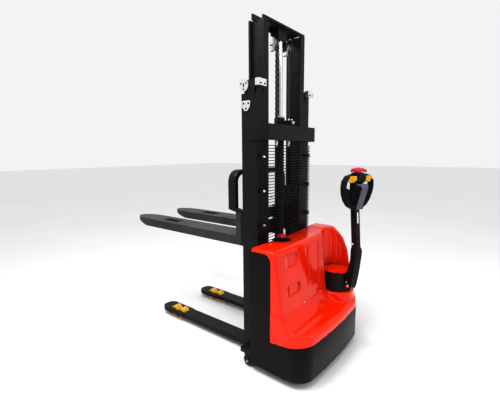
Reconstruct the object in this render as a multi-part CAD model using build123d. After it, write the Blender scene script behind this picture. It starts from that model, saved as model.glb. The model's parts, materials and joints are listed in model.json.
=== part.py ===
"""Pedestrian (walkie) stacker with a side-mounted tiller, sizes in millimetres.

Working frame while the pieces are drawn: X forward to the fork tips with X = 0 at the rear
face of the outer mast, Y to the truck's left, Z up from the floor.  Every piece is moved at the
end, so that the origin is the middle of the whole truck's footprint, on the floor.
"""
from build123d import *
from math import cos, radians, sin
import os

# ---------------------------------------------------------------- overall sizes
BODY_HALF_WIDTH = 400.0
BODY_REAR = -404.0
BODY_SIDE_REAR = -380.0
BODY_FRONT = -27.0
BODY_CORNER_R = 112.0
BODY_TOP = 765.0
GROUND_GAP = 40.0
FORK_LENGTH = 1150.0
FORK_TOP = 786.0
MAST_TOP = 1652.0
INNER_TOP = 2074.0
LIFT_UP = 865.0

# ---------------------------------------------------------------- clearances
RUN = 0.05
GAP = 0.5
SLIP = 1.0

# ---------------------------------------------------------------- mast rails
RAIL_DEPTH = 112.0
RAIL_FLANGE = 14.0
RAIL_WEB = 12.0
OUTER_FACE = 302.0
OUTER_INNER_EDGE = 233.0
COLUMN_OUTER = OUTER_INNER_EDGE - SLIP
COLUMN_WIDTH = 48.0
COLUMN_WEB = 10.0
COLUMN_WEB_OUT = COLUMN_OUTER - 19.0
RAIL_MID_X = RAIL_DEPTH / 2
FOOT_BOTTOM = 33.0
FOOT_TOP = 60.0
LUG_TOP = 1727.0
LUG_DEPTH = 60.0
CAP_X = 89.0
CAP_Z = 1697.0
CAP_R = 35.0
SHIELD_X = 73.0
SHIELD_Z = 1580.0
INNER_BOTTOM = 430.0
TOP_BAR_H = 14.0
FRONT_PLATE_X = 80.0
FRONT_PLATE_T = 10.0
FRONT_PLATE_BOTTOM = 2050.0
FRONT_PLATE_TOP = 2110.0
TIE_T = 12.0
TIE_H = 50.0
CROSS_BACK = -65.0
CROSS_T = 8.0
CROSS_HALF = 277.0
CROSS_BOTTOM = 1382.0
CROSS_TOP = 1476.0
CROSS_WING_X = 46.0
CROSS_FLARE_X = -20.0

# ---------------------------------------------------------------- guide rollers
GUIDE_R = RAIL_DEPTH / 2 - RAIL_FLANGE - GAP
GUIDE_AXLE_R = 12.5
UPPER_GUIDE_Z = MAST_TOP - 52.0
LOWER_GUIDE_Z = INNER_BOTTOM + 60.0
UPPER_GUIDE_W = 35.0
LOWER_GUIDE_W = 42.0
CARRIAGE_GUIDE_W = 33.0

# ---------------------------------------------------------------- cylinder, chains
CYL_X = 45.0
CYL_R = 30.0
CYL_BORE = 24.0
CYL_TOP = 1480.0
CYL_FLOOR = 12.0
GLAND_R = 34.0
GLAND_H = 50.0
ROD_R = 17.5
ROD_TOP = 2000.0
PISTON_H = 60.0
CHAIN_Y = 71.0
CHAIN_W = 20.0
CHAIN_T = 8.0
SHEAVE_X = 57.0
SHEAVE_Z = 1971.0
SHEAVE_ROOT_R = 34.0
SHEAVE_FLANGE_R = 42.0
SHEAVE_W = 30.0
SHEAVE_AXLE_R = 9.0
ANCHOR_Z = 1430.0
ANCHOR_T = 32.0
ANCHOR_BOLT_R = 7.0
HEAD_BLOCK_HALF = 46.0
EAR_T = 6.0

# ---------------------------------------------------------------- guard
GUARD_X = -33.0
WIRE_R = 2.25
WIRE_PITCH = 18.0
WIRE_ROWS = 33
GUARD_BOTTOM = 776.0
GUARD_HALF = 272.0
GUARD_POST_YS = (-254.0, -96.0, 96.0, 254.0)
GUARD_LEVELS = (877.0, 1083.0, 1286.0)
LUG_W = 22.0
LUG_H = 24.0

# ---------------------------------------------------------------- carriage and forks
CARRIAGE_BACK = 118.0
BAR_T = 25.0
CARRIAGE_BOTTOM = 772.0
CARRIAGE_TOP = 938.0
LOWER_BAR_H = 78.0
UPPER_BAR_H = 70.0
SIDE_PLATE_IN = 150.0
SIDE_PLATE_T = 12.0
SIDE_PLATE_X = 24.0
SIDE_PLATE_TOP = 1080.0
FORK_SPREAD_HALF = 287.0
FORK_WIDTH = 169.5
FORK_DEPTH = 60.0
FORK_PLATE = 5.0
FORK_WALL = 6.0
HEEL_DEPTH = 40.0
FORK_TAPER = 250.0
FORK_NOSE_HALF = 30.0
FORK_NOSE_RISE = 38.0
SLOT_FROM = 642.0
SLOT_LENGTH = 174.0
SLOT_WIDTH = 68.0
REST_BAR_W = 60.0
REST_BAR_T = 30.0
REST_TOP = 1202.0
REST_FOOT_Z = 951.0
REST_CORNER_R = 75.0
ANCHOR_BEAM_X = 84.0
ANCHOR_BEAM_T = 26.0
ANCHOR_BEAM_H = 28.0

# ---------------------------------------------------------------- support legs
LEG_Y = 207.0
LEG_WIDTH = 105.0
LEG_TOP = 66.0
LEG_BOTTOM = 33.0
LEG_TIP = 1029.0
TIP_FRAME_LENGTH = 264.0
TIP_FRAME_WIDTH = 118.0
TIP_CORNER_R = 52.0
ROLLER_R = 40.0
ROLLER_W = 60.0
ROLLER_FRONT_X = 905.0
ROLLER_GAP = 4.0
ROLLER_PITCH = 2 * ROLLER_R + ROLLER_GAP
ROLLER_AXLE_R = 10.0
LOWERED_FORK_TOP = 2 * ROLLER_R + FORK_PLATE + SLIP
LIFT_DOWN = (FORK_TOP - LOWERED_FORK_TOP) / 2

# ---------------------------------------------------------------- body shells
SKIN = 6.0
COVER_T = 4.0
BULKHEAD_TOP = BODY_TOP - COVER_T - 4.0
SKIRT_SIDE_TOP = 226.0
SKIRT_REAR_TOP = 247.0
PANEL_REAR = -160.0
PANEL_TOP = 742.0
PANEL_BOTTOM = 43.0
PANEL_CORNER_R = 45.0
BULKHEAD_T = 8.0
FLOOR_T = 8.0
PAD_TOP = 700.0
SEAT_Z = 303.0
CREASE_X = -240.0
CREASE_Z = 410.0
BACK_TOP_X = -192.0
BACK_CORNER_R = 40.0
WING_TOP_X = -178.0

# ---------------------------------------------------------------- steering and drive
STEER_X = -262.0
STEER_Y = -265.0
STEER_REST = -20.0
ALCOVE_R = 116.0
ALCOVE_FLOOR = 380.0
DRUM_R = 100.0
DRUM_TOP = 507.0
WHEEL_R = 105.0
WHEEL_W = 70.0
WHEEL_AXLE_R = 15.0
MOTOR_R = 68.0
MOTOR_TOP = 378.0
HEAD_PLATE_Z = 2 * WHEEL_R + 12.0
HEAD_PLATE_T = 8.0
BEARING_H = 10.0
BEARING_R = 108.0
BEARING_BORE = 84.0

# ---------------------------------------------------------------- tiller
PIVOT_A = 128.0
PIVOT_Z = 430.0
PIVOT_R = 8.0
BATTERY_FRONT = -40.0
BATTERY_LENGTH = 192.0
BATTERY_WIDTH = 166.0
BATTERY_HEIGHT = 172.0
BATTERY_RIGHT_FACES = (46.0, 214.0)
BATTERY_POST_R = 8.0
BATTERY_POST_H = 12.0
BATTERY_POST_INSET = 36.0
PUMP_X = -84.0
PUMP_MOTOR_R = 42.0
PUMP_MOTOR_Y = (-134.0, -16.0)
PUMP_BODY_R = 30.0
PUMP_BODY_END = 4.0
PUMP_FOOT_HALF = 26.0
PUMP_AXIS_RISE = 50.0
TANK_X = (-128.0, -36.0)
TANK_Y = (-252.0, -138.0)
TANK_HEIGHT = 150.0
TANK_CAP_R = 16.0
TANK_CAP_H = 16.0
BOOT_END_R = 26.0
BOOT_HALF = 30.0
BOOT_WALL = 6.0
BOOT_TOP = 700.0
LUG_HALF = 22.0
TUBE_HALF = 19.0
TUBE_DEPTH = 40.0
TUBE_LOW_A = 165.0
TUBE_LOW_Z = 650.0
TUBE_TOP_A = 141.0
TUBE_TOP_Z = 950.0
HEAD_HALF = 38.0
HEAD_FRONT = 120.0
HEAD_MID_A = 165.0
HEAD_REAR = 188.0
HEAD_TOP = 1168.0
WEDGE_HALF = 27.0
WEDGE_TOP = 1112.0
LOOP_FRONT = 132.0
LOOP_T = 30.0
LOOP_HALF = 125.0
LOOP_BAR = 25.0
LOOP_BOTTOM = 966.0
LOOP_TOP = 1156.0
THROTTLE_A = 176.0
THROTTLE_Z = 1142.0
THROTTLE_AXLE_R = 6.0
PADDLE_IN = 41.0
PADDLE_OUT = 88.0
PADDLE_H = 42.0
PADDLE_T = 9.0
CAP_TRAVEL = 6.0
CAP_HALF = 40.0
CAP_STEM_R = 6.0

# ---------------------------------------------------------------- stabiliser casters
CASTER_X = 34.0
CASTER_Y = 364.0
CASTER_R = 37.0
CASTER_W = 30.0
CASTER_TRAIL = 18.0
CASTER_FORK_TOP = 90.0
CASTER_CHEEK = 4.0
CASTER_BLOCK_TOP = 124.0
CASTER_STEM_R = 8.0
CASTER_AXLE_R = 5.0

# ---------------------------------------------------------------- emergency stop
STOP_X = -68.0
STOP_Y = 137.0
STOP_R = 25.0
STOP_SHAFT_R = 15.0
STOP_STEM_R = 6.0
STOP_FLANGE_R = 46.0
STOP_TRAVEL = 6.0

parts = {}


# ---------------------------------------------------------------- helpers
def block(x0, x1, y0, y1, z0, z1):
    """A box between two corners."""
    middle = Pos((x0 + x1) / 2, (y0 + y1) / 2, (z0 + z1) / 2)
    return middle * Box(x1 - x0, y1 - y0, z1 - z0)


def rod_x(x0, x1, y, z, radius):
    """A cylinder along X from x0 to x1."""
    return Pos((x0 + x1) / 2, y, z) * Rot(0, 90, 0) * Cylinder(radius, abs(x1 - x0))


def rod_y(x, y0, y1, z, radius):
    """A cylinder along Y from y0 to y1."""
    return Pos(x, (y0 + y1) / 2, z) * Rot(90, 0, 0) * Cylinder(radius, abs(y1 - y0))


def rod_z(x, y, z0, z1, radius):
    """A cylinder along Z from z0 to z1."""
    return Pos(x, y, (z0 + z1) / 2) * Cylinder(radius, abs(z1 - z0))


def prism_y(points, y0, y1):
    """An outline of (x, z) points, extruded from y0 to y1."""
    outline = Polyline(*[(x, y0, z) for x, z in points], close=True)
    return extrude(make_face(outline), amount=y1 - y0, dir=(0, 1, 0))


def prism_x(points, x0, x1):
    """An outline of (y, z) points, extruded from x0 to x1."""
    outline = Polyline(*[(x0, y, z) for y, z in points], close=True)
    return extrude(make_face(outline), amount=x1 - x0, dir=(1, 0, 0))


def prism_z(points, z0, z1):
    """An outline of (x, y) points, extruded from z0 to z1."""
    outline = Polyline(*[(x, y, z0) for x, y in points], close=True)
    return extrude(make_face(outline), amount=z1 - z0, dir=(0, 0, 1))


def other_side(shape):
    """The same piece on the truck's other side."""
    return mirror(shape, about=Plane.XZ)


def group(*shapes):
    """Separate solids that share one node."""
    solids = []
    for shape in shapes:
        solids.extend(shape.solids())
    return Compound(solids)


def both_sides(shape):
    """A piece and its mirror twin in one node."""
    return group(shape, other_side(shape))


def ring_y(x, y0, y1, z, outer, inner):
    """A bored roller with its axis along Y."""
    return rod_y(x, y0, y1, z, outer) - rod_y(x, y0 - 1, y1 + 1, z, inner)


def steer(shape):
    """Puts a piece drawn in the tiller's own plane where the turned tiller stands.

    It is drawn with the steering axis on Z and the tiller pointing to -X.
    """
    return Pos(STEER_X, STEER_Y, 0) * Rot(0, 0, STEER_REST) * shape


def steer_point(back, side, z):
    """The place of a point given by its distance behind and to the right of the steering axis."""
    turn = radians(STEER_REST)
    x = -back * cos(turn) + side * sin(turn)
    y = -back * sin(turn) - side * cos(turn)
    return (STEER_X + x, STEER_Y + y, z)


def tiller_prism(points, half):
    """An outline of (distance behind the steering axis, height), extruded across the tiller."""
    return prism_y([(-back, z) for back, z in points], -half, half)


# ---------------------------------------------------------------- mast
def outer_rail():
    """The left channel rail, with its head lug and the stub axle of its guide roller."""
    inner_web = OUTER_FACE - RAIL_WEB
    rail = block(0, RAIL_DEPTH, OUTER_INNER_EDGE, OUTER_FACE, FOOT_TOP, MAST_TOP)
    hollow_x1 = RAIL_DEPTH - RAIL_FLANGE
    open_y = OUTER_INNER_EDGE - 1
    rail -= block(RAIL_FLANGE, hollow_x1, open_y, inner_web, FOOT_TOP - 1, MAST_TOP + 1)
    rail += block(0, LUG_DEPTH, inner_web, OUTER_FACE, MAST_TOP, LUG_TOP)
    rail += rod_y(CAP_X, inner_web, OUTER_FACE, CAP_Z, CAP_R - 1)
    rail += block(LUG_DEPTH - 1, CAP_X, inner_web, OUTER_FACE, MAST_TOP, CAP_Z)
    rail += rod_y(RAIL_MID_X, COLUMN_WEB_OUT + 2, inner_web, UPPER_GUIDE_Z, GUIDE_AXLE_R)
    return rail


def inner_rail():
    """The left I-section column of the inner mast, with its guide roller's stub axle."""
    y0 = COLUMN_OUTER - COLUMN_WIDTH
    web_in = COLUMN_WEB_OUT - COLUMN_WEB
    hollow_x1 = RAIL_DEPTH - RAIL_FLANGE
    rail = block(0, RAIL_DEPTH, y0, COLUMN_OUTER, INNER_BOTTOM, INNER_TOP)
    z0 = INNER_BOTTOM - 1
    z1 = INNER_TOP + 1
    rail -= block(RAIL_FLANGE, hollow_x1, COLUMN_WEB_OUT, COLUMN_OUTER + 1, z0, z1)
    rail -= block(RAIL_FLANGE, hollow_x1, y0 - 1, web_in, z0, z1)
    axle_end = OUTER_FACE - RAIL_WEB - 2 * SLIP
    rail += rod_y(RAIL_MID_X, COLUMN_WEB_OUT, axle_end, LOWER_GUIDE_Z, GUIDE_AXLE_R)
    return rail


def inner_plates():
    """Top bar and bottom tie behind the columns, and the cross plate near their front."""
    half = COLUMN_OUTER
    gap_half = COLUMN_OUTER - COLUMN_WIDTH
    top_bar = block(0, RAIL_FLANGE, -half, half, INNER_TOP, INNER_TOP + TOP_BAR_H)
    plate_x1 = FRONT_PLATE_X + FRONT_PLATE_T
    front = block(FRONT_PLATE_X, plate_x1, -gap_half, gap_half, FRONT_PLATE_BOTTOM, INNER_TOP)
    front += block(FRONT_PLATE_X, plate_x1, -half, half, INNER_TOP, FRONT_PLATE_TOP)
    tie = block(0, TIE_T, -gap_half, gap_half, INNER_BOTTOM + 10, INNER_BOTTOM + 10 + TIE_H)
    return group(top_bar, front, tie)


def cross_plate():
    """Hat-shaped plate that joins the outer rails behind the mast."""
    outer_y = OUTER_FACE + CROSS_T
    outline = [
        (CROSS_WING_X, outer_y),
        (CROSS_FLARE_X, outer_y),
        (CROSS_BACK, CROSS_HALF),
        (CROSS_BACK, -CROSS_HALF),
        (CROSS_FLARE_X, -outer_y),
        (CROSS_WING_X, -outer_y),
        (CROSS_WING_X, -OUTER_FACE),
        (CROSS_FLARE_X + 3, -OUTER_FACE),
        (CROSS_BACK + CROSS_T, -CROSS_HALF + 3),
        (CROSS_BACK + CROSS_T, CROSS_HALF - 3),
        (CROSS_FLARE_X + 3, OUTER_FACE),
        (CROSS_WING_X, OUTER_FACE),
    ]
    return prism_z(outline, CROSS_BOTTOM, CROSS_TOP)


def adjusters():
    """Zinc-plated pads and caps at the rail heads, the left one of each."""
    pad = block(-28, 0, 244, 316, 1687, 1726)
    pad += rod_x(-32, -27, 282, 1705, 12)
    disc = rod_y(CAP_X, OUTER_FACE, OUTER_FACE + 9, CAP_Z, CAP_R)
    disc -= block(CAP_X - 16, CAP_X + 16, OUTER_FACE + 6, OUTER_FACE + 10, CAP_Z - 3, CAP_Z + 3)
    half = 33.0
    outline = [
        (SHIELD_X - half, SHIELD_Z + 24),
        (SHIELD_X - half + 8, SHIELD_Z + 30),
        (SHIELD_X + half - 8, SHIELD_Z + 30),
        (SHIELD_X + half, SHIELD_Z + 24),
        (SHIELD_X + half - 4, SHIELD_Z - 6),
        (SHIELD_X + 10, SHIELD_Z - 29),
        (SHIELD_X - 10, SHIELD_Z - 29),
        (SHIELD_X - half + 4, SHIELD_Z - 6),
    ]
    shield = prism_y(outline, OUTER_FACE, OUTER_FACE + 8)
    for dx, dz in ((-18, 14), (18, 14), (0, -16)):
        shield -= rod_y(SHIELD_X + dx, OUTER_FACE + 4, OUTER_FACE + 9, SHIELD_Z + dz, 5)
    return group(pad, disc, shield)


def foot_beam():
    """Beam under the rails that carries the mast, the cylinder and the legs."""
    return block(0, RAIL_DEPTH, -OUTER_FACE, OUTER_FACE, FOOT_BOTTOM, FOOT_TOP)


def guide_roller(y0, y1, z):
    """A guide roller between the rail flanges."""
    return ring_y(RAIL_MID_X, y0, y1, z, GUIDE_R, GUIDE_AXLE_R + RUN)


# ---------------------------------------------------------------- hydraulics and chains
def cylinder_tube():
    """Lift cylinder, open at the top, with its hose port low at the back."""
    tube = rod_z(CYL_X, 0, FOOT_TOP, CYL_TOP, CYL_R)
    tube += block(CYL_X - CYL_R - 10, CYL_X, -11, 11, FOOT_TOP, FOOT_TOP + 20)
    tube -= rod_z(CYL_X, 0, FOOT_TOP + CYL_FLOOR + 9, CYL_TOP + 1, CYL_BORE)
    return tube


def cylinder_gland():
    """Gland nut on the cylinder, with the clamp bridge that holds it to the mast."""
    top = CYL_TOP + GLAND_H
    gland = rod_z(CYL_X, 0, CYL_TOP, top, GLAND_R)
    gland += block(CROSS_BACK + CROSS_T, CYL_X - 8, -26, 26, CYL_TOP, CYL_TOP + 30)
    gland -= rod_z(CYL_X, 0, CYL_TOP - 1, top + 1, ROD_R + RUN)
    return gland


def piston_rod():
    """Piston and rod, which rise with the inner mast."""
    low = FOOT_TOP + CYL_FLOOR + 9 + LIFT_DOWN + 10
    piston = rod_z(CYL_X, 0, low, low + PISTON_H, CYL_BORE - RUN)
    return piston + rod_z(CYL_X, 0, low, ROD_TOP, ROD_R)


def rod_head():
    """Crosshead on the rod, bolted to the front cross plate, with the sheave axle."""
    head = block(CYL_X - 20, FRONT_PLATE_X, -HEAD_BLOCK_HALF, HEAD_BLOCK_HALF, ROD_TOP, INNER_TOP)
    for side in (-1, 1):
        ear_y0 = side * HEAD_BLOCK_HALF
        ear_y1 = side * (HEAD_BLOCK_HALF + EAR_T)
        low_y = min(ear_y0, ear_y1)
        high_y = max(ear_y0, ear_y1)
        head += block(CYL_X - 10, FRONT_PLATE_X, low_y, high_y, SHEAVE_Z - 16, INNER_TOP)
    reach = CHAIN_Y + SHEAVE_W / 2 + 3
    for side in (-1, 1):
        y_in = side * HEAD_BLOCK_HALF
        head += rod_y(SHEAVE_X, y_in, side * reach, SHEAVE_Z, SHEAVE_AXLE_R)
    return head


def sheave():
    """Left chain sheave: a grooved roller between two flanges."""
    y0 = CHAIN_Y - SHEAVE_W / 2 + 1
    y1 = CHAIN_Y + SHEAVE_W / 2 - 1
    rim = 3.0
    body = rod_y(SHEAVE_X, y0, y1, SHEAVE_Z, SHEAVE_ROOT_R - 1)
    body += rod_y(SHEAVE_X, y0, y0 + rim, SHEAVE_Z, SHEAVE_FLANGE_R)
    body += rod_y(SHEAVE_X, y1 - rim, y1, SHEAVE_Z, SHEAVE_FLANGE_R)
    return body - rod_y(SHEAVE_X, y0 - 1, y1 + 1, SHEAVE_Z, SHEAVE_AXLE_R + RUN)


def chain_strand(x, z0):
    """A straight strand of leaf chain, from z0 up to the sheave's centre height."""
    y0 = CHAIN_Y - CHAIN_W / 2
    return block(x - CHAIN_T / 2, x + CHAIN_T / 2, y0, y0 + CHAIN_W, z0, SHEAVE_Z)


def anchor_bracket():
    """Plate between the cross plate and the rear chains, cut round the cylinder."""
    front_x = SHEAVE_X - SHEAVE_ROOT_R + CHAIN_T
    bottom = ANCHOR_Z - ANCHOR_T
    plate = block(CROSS_BACK + CROSS_T, front_x, -95, 95, bottom, ANCHOR_Z)
    plate -= rod_z(CYL_X, 0, bottom - 1, ANCHOR_Z + 1, CYL_R + GAP)
    for side in (-1, 1):
        x = SHEAVE_X - SHEAVE_ROOT_R - CHAIN_T / 2
        plate -= rod_z(x, side * CHAIN_Y, bottom - 1, ANCHOR_Z + 1, ANCHOR_BOLT_R)
    return plate


def anchor_bolt():
    """Left threaded chain anchor with its two nuts below the plate."""
    x = SHEAVE_X - SHEAVE_ROOT_R - CHAIN_T / 2
    bottom = ANCHOR_Z - ANCHOR_T
    bolt = rod_z(x, CHAIN_Y, bottom - 50, ANCHOR_Z, ANCHOR_BOLT_R)
    for drop in (0, 16):
        nut = Pos(x, CHAIN_Y, bottom - drop - 13) * extrude(RegularPolygon(12, 6), amount=13)
        bolt += nut
    return bolt


# ---------------------------------------------------------------- guard
def guard_mesh():
    """Welded wire guard behind the mast: close horizontal wires on four posts."""
    top = GUARD_BOTTOM + WIRE_PITCH * (WIRE_ROWS - 1)
    mesh = None
    for y in GUARD_POST_YS:
        post = rod_z(GUARD_X + WIRE_R, y, GUARD_BOTTOM - 4, top + 4, WIRE_R)
        mesh = post if mesh is None else mesh + post
    rows = []
    for row in range(WIRE_ROWS):
        z = GUARD_BOTTOM + WIRE_PITCH * row
        rows.append(rod_y(GUARD_X, -GUARD_HALF, GUARD_HALF, z, WIRE_R))
    return mesh.fuse(*rows)


def guard_brackets():
    """Lugs that hold the guard off the rear faces of the outer rails."""
    front = GUARD_X + 2 * WIRE_R + GAP
    lugs = []
    for z in GUARD_LEVELS:
        lug = block(front, 0, 252, 252 + LUG_W + 8, z - LUG_H / 2, z + LUG_H / 2)
        lugs.append(lug)
        lugs.append(other_side(lug))
    return group(*lugs)


# ---------------------------------------------------------------- carriage, forks, backrest
def carriage_frame():
    """Two bars across the front of the mast on two side plates that carry the rollers."""
    front = CARRIAGE_BACK + BAR_T
    half = FORK_SPREAD_HALF
    low_top = CARRIAGE_BOTTOM + LOWER_BAR_H
    frame = block(CARRIAGE_BACK, front, -half, half, CARRIAGE_BOTTOM, low_top)
    frame += block(CARRIAGE_BACK, front, -half, half, CARRIAGE_TOP - UPPER_BAR_H, CARRIAGE_TOP)
    plate_out = SIDE_PLATE_IN + SIDE_PLATE_T
    beam_x1 = ANCHOR_BEAM_X + ANCHOR_BEAM_T
    beam_top = CARRIAGE_BOTTOM + ANCHOR_BEAM_H
    frame += block(ANCHOR_BEAM_X, beam_x1, -SIDE_PLATE_IN, SIDE_PLATE_IN, CARRIAGE_BOTTOM, beam_top)
    roller_end = COLUMN_WEB_OUT - COLUMN_WEB - 2 * SLIP
    for side in (-1, 1):
        y0 = min(side * SIDE_PLATE_IN, side * plate_out)
        y1 = max(side * SIDE_PLATE_IN, side * plate_out)
        frame += block(SIDE_PLATE_X, CARRIAGE_BACK, y0, y1, CARRIAGE_BOTTOM, SIDE_PLATE_TOP)
        end_y0 = min(side * (half - SIDE_PLATE_T), side * half)
        end_y1 = max(side * (half - SIDE_PLATE_T), side * half)
        bottom = FORK_TOP - FORK_DEPTH
        frame += block(CARRIAGE_BACK, front, end_y0, end_y1, bottom, CARRIAGE_TOP)
        for z in (carriage_roller_low(), carriage_roller_high()):
            frame += rod_y(RAIL_MID_X, side * plate_out, side * roller_end, z, GUIDE_AXLE_R)
    return frame


def carriage_roller_low():
    """Height of the carriage's lower roller axle."""
    return CARRIAGE_BOTTOM + GUIDE_R + 4


def carriage_roller_high():
    """Height of the carriage's upper roller axle."""
    return SIDE_PLATE_TOP - GUIDE_R - 4


def fork_plan(inset):
    """Plan outline of the left fork blade, drawn in by inset, from its heel to its blunt nose."""
    heel = CARRIAGE_BACK + BAR_T
    tip = heel + HEEL_DEPTH + FORK_LENGTH
    y1 = FORK_SPREAD_HALF
    y0 = y1 - FORK_WIDTH
    middle = (y0 + y1) / 2
    side_end = tip - FORK_TAPER
    nose = tip - inset
    start = heel if inset == 0 else heel - 1
    out = y1 - inset
    inn = y0 + inset
    point_half = FORK_NOSE_HALF / 2
    along = (1, 0)
    inward = (0.6, 1)
    outward = (-0.6, 1)
    edges = [
        Line((start, inn), (side_end, inn)),
        Spline((side_end, inn), (nose, middle - point_half), tangents=(along, inward)),
        Line((nose, middle - point_half), (nose, middle + point_half)),
        Spline((nose, middle + point_half), (side_end, out), tangents=(outward, (-1, 0))),
        Line((side_end, out), (start, out)),
        Line((start, out), (start, inn)),
    ]
    return make_face(edges)


def fork():
    """Left fork: an inverted channel blade with a rising nose, a roller window and a heel box."""
    heel = CARRIAGE_BACK + BAR_T
    tip = heel + HEEL_DEPTH + FORK_LENGTH
    bottom = FORK_TOP - FORK_DEPTH
    y1 = FORK_SPREAD_HALF
    y0 = y1 - FORK_WIDTH
    blade = extrude(Pos(0, 0, bottom) * fork_plan(0), amount=FORK_DEPTH, dir=(0, 0, 1))
    hollow_h = FORK_DEPTH - FORK_PLATE
    blade -= extrude(Pos(0, 0, bottom) * fork_plan(FORK_WALL), amount=hollow_h, dir=(0, 0, 1))
    rise = [
        (tip - FORK_TAPER * 0.7, bottom - 1),
        (tip - FORK_TAPER * 0.7, bottom),
        (tip, bottom + FORK_NOSE_RISE),
        (tip + 1, bottom + FORK_NOSE_RISE),
        (tip + 1, bottom - 1),
    ]
    blade -= prism_y(rise, y0 - 1, y1 + 1)
    slot_x0 = heel + HEEL_DEPTH + SLOT_FROM
    slot_y0 = LEG_Y - SLOT_WIDTH / 2
    slot_y1 = LEG_Y + SLOT_WIDTH / 2
    blade -= block(slot_x0, slot_x0 + SLOT_LENGTH, slot_y0, slot_y1, FORK_TOP - 20, FORK_TOP + 1)
    wall = 10.0
    box = block(heel, heel + HEEL_DEPTH, y0, y1, FORK_TOP - FORK_PLATE, CARRIAGE_TOP)
    cavity_x1 = heel + HEEL_DEPTH - wall
    box -= block(heel - 1, cavity_x1, y0 + wall, y1 - wall, FORK_TOP, CARRIAGE_TOP - wall)
    return blade + box


def backrest():
    """Load backrest: one bar bent to an inverted U, on two feet that reach back to the heels."""
    x0 = CARRIAGE_BACK + BAR_T + HEEL_DEPTH
    x1 = x0 + REST_BAR_W
    height = REST_TOP - REST_FOOT_Z
    inner_r = REST_CORNER_R - REST_BAR_T
    outer = RectangleRounded(2 * FORK_SPREAD_HALF, 2 * height, REST_CORNER_R)
    inner = RectangleRounded(
        2 * (FORK_SPREAD_HALF - REST_BAR_T), 2 * (height - REST_BAR_T), inner_r
    )
    frame = Plane.YZ * (outer - inner)
    bar = Pos(x0, 0, REST_FOOT_Z) * extrude(frame, amount=REST_BAR_W, dir=(1, 0, 0))
    bar -= block(x0 - 1, x1 + 1, -400, 400, REST_FOOT_Z - height - 5, REST_FOOT_Z)
    foot = [
        (CARRIAGE_BACK + 6, CARRIAGE_TOP),
        (x0, CARRIAGE_TOP),
        (x1, REST_FOOT_Z),
        (x1, REST_FOOT_Z + 30),
        (x0, REST_FOOT_Z + 30),
        (x0, REST_FOOT_Z + 12),
        (CARRIAGE_BACK + 6, REST_FOOT_Z - 2),
    ]
    left = prism_y(foot, FORK_SPREAD_HALF - REST_BAR_T, FORK_SPREAD_HALF)
    return bar + left + other_side(left)


# ---------------------------------------------------------------- legs
def leg():
    """Left support leg with a wider open frame at its tip for the tandem rollers."""
    frame_x0 = LEG_TIP - TIP_FRAME_LENGTH
    half_leg = LEG_WIDTH / 2
    arm = block(RAIL_DEPTH, frame_x0 + 5, LEG_Y - half_leg, LEG_Y + half_leg, LEG_BOTTOM, LEG_TOP)
    plan = Pos(0, 0, LEG_BOTTOM) * Rectangle(TIP_FRAME_LENGTH, TIP_FRAME_WIDTH)
    tip = extrude(plan, amount=LEG_TOP - LEG_BOTTOM)
    front_edges = tip.edges().filter_by(Axis.Z).group_by(Axis.X)[-1]
    tip = fillet(front_edges, TIP_CORNER_R)
    tip = Pos(frame_x0 + TIP_FRAME_LENGTH / 2, LEG_Y, 0) * tip
    body = arm + tip
    spare = 6.0
    window_x0 = ROLLER_FRONT_X - ROLLER_PITCH - ROLLER_R - spare
    window_x1 = ROLLER_FRONT_X + ROLLER_R + spare
    half = ROLLER_W / 2 + 4
    body -= block(window_x0, window_x1, LEG_Y - half, LEG_Y + half, LEG_BOTTOM - 1, LEG_TOP + 1)
    for x in (ROLLER_FRONT_X, ROLLER_FRONT_X - ROLLER_PITCH):
        out = TIP_FRAME_WIDTH / 2 + 1
        body -= rod_y(x, LEG_Y - out, LEG_Y + out, ROLLER_R, ROLLER_AXLE_R)
    return body


def load_roller(x, side):
    """A load roller on its axle in the leg tip."""
    middle = side * LEG_Y
    y0 = middle - ROLLER_W / 2
    return ring_y(x, y0, y0 + ROLLER_W, ROLLER_R, ROLLER_R, ROLLER_AXLE_R + RUN)


def load_roller_axles():
    """The four axles of the load rollers."""
    axles = []
    half = TIP_FRAME_WIDTH / 2 - 2
    for x in (ROLLER_FRONT_X, ROLLER_FRONT_X - ROLLER_PITCH):
        for side in (-1, 1):
            middle = side * LEG_Y
            axles.append(rod_y(x, middle - half, middle + half, ROLLER_R, ROLLER_AXLE_R))
    return group(*axles)


# ---------------------------------------------------------------- body shells
def body_plan(inset):
    """Plan of the body: straight sides, a slightly bowed rear and two round rear corners."""
    half = BODY_HALF_WIDTH - inset
    side_rear = BODY_SIDE_REAR + inset
    rear = BODY_REAR + inset
    edges = [
        Line((BODY_FRONT, half), (side_rear, half)),
        ThreePointArc((side_rear, half), (rear, 0), (side_rear, -half)),
        Line((side_rear, -half), (BODY_FRONT, -half)),
        Line((BODY_FRONT, -half), (BODY_FRONT, half)),
    ]
    face = make_face(edges)
    rear_corners = face.vertices().group_by(Axis.X)[0]
    return fillet(rear_corners, BODY_CORNER_R - inset)


def seam_slope():
    """Rise of the seam between cover and skirt for each millimetre forward."""
    return (SKIRT_SIDE_TOP - SKIRT_REAR_TOP) / (PANEL_REAR - BODY_REAR)


def seam_cutter(lift):
    """Everything below the seam, raised by lift."""
    slope = seam_slope()
    x0 = BODY_REAR - 20
    x1 = 20
    z0 = SKIRT_REAR_TOP - 20 * slope + lift
    z1 = SKIRT_REAR_TOP + (x1 - BODY_REAR) * slope + lift
    return prism_y([(x0, -10), (x1, -10), (x1, z1), (x0, z0)], -500, 500)


def lower_skirt():
    """Black skirt round the bottom of the body, open below and above."""
    height = BODY_TOP
    outer = extrude(Pos(0, 0, GROUND_GAP) * body_plan(0), amount=height, dir=(0, 0, 1))
    inner = extrude(Pos(0, 0, GROUND_GAP - 1) * body_plan(SKIN), amount=height + 2, dir=(0, 0, 1))
    skirt = (outer - inner) & seam_cutter(0)
    skirt -= block(PANEL_REAR, 20, -500, 500, 0, 500)
    return skirt


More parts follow.
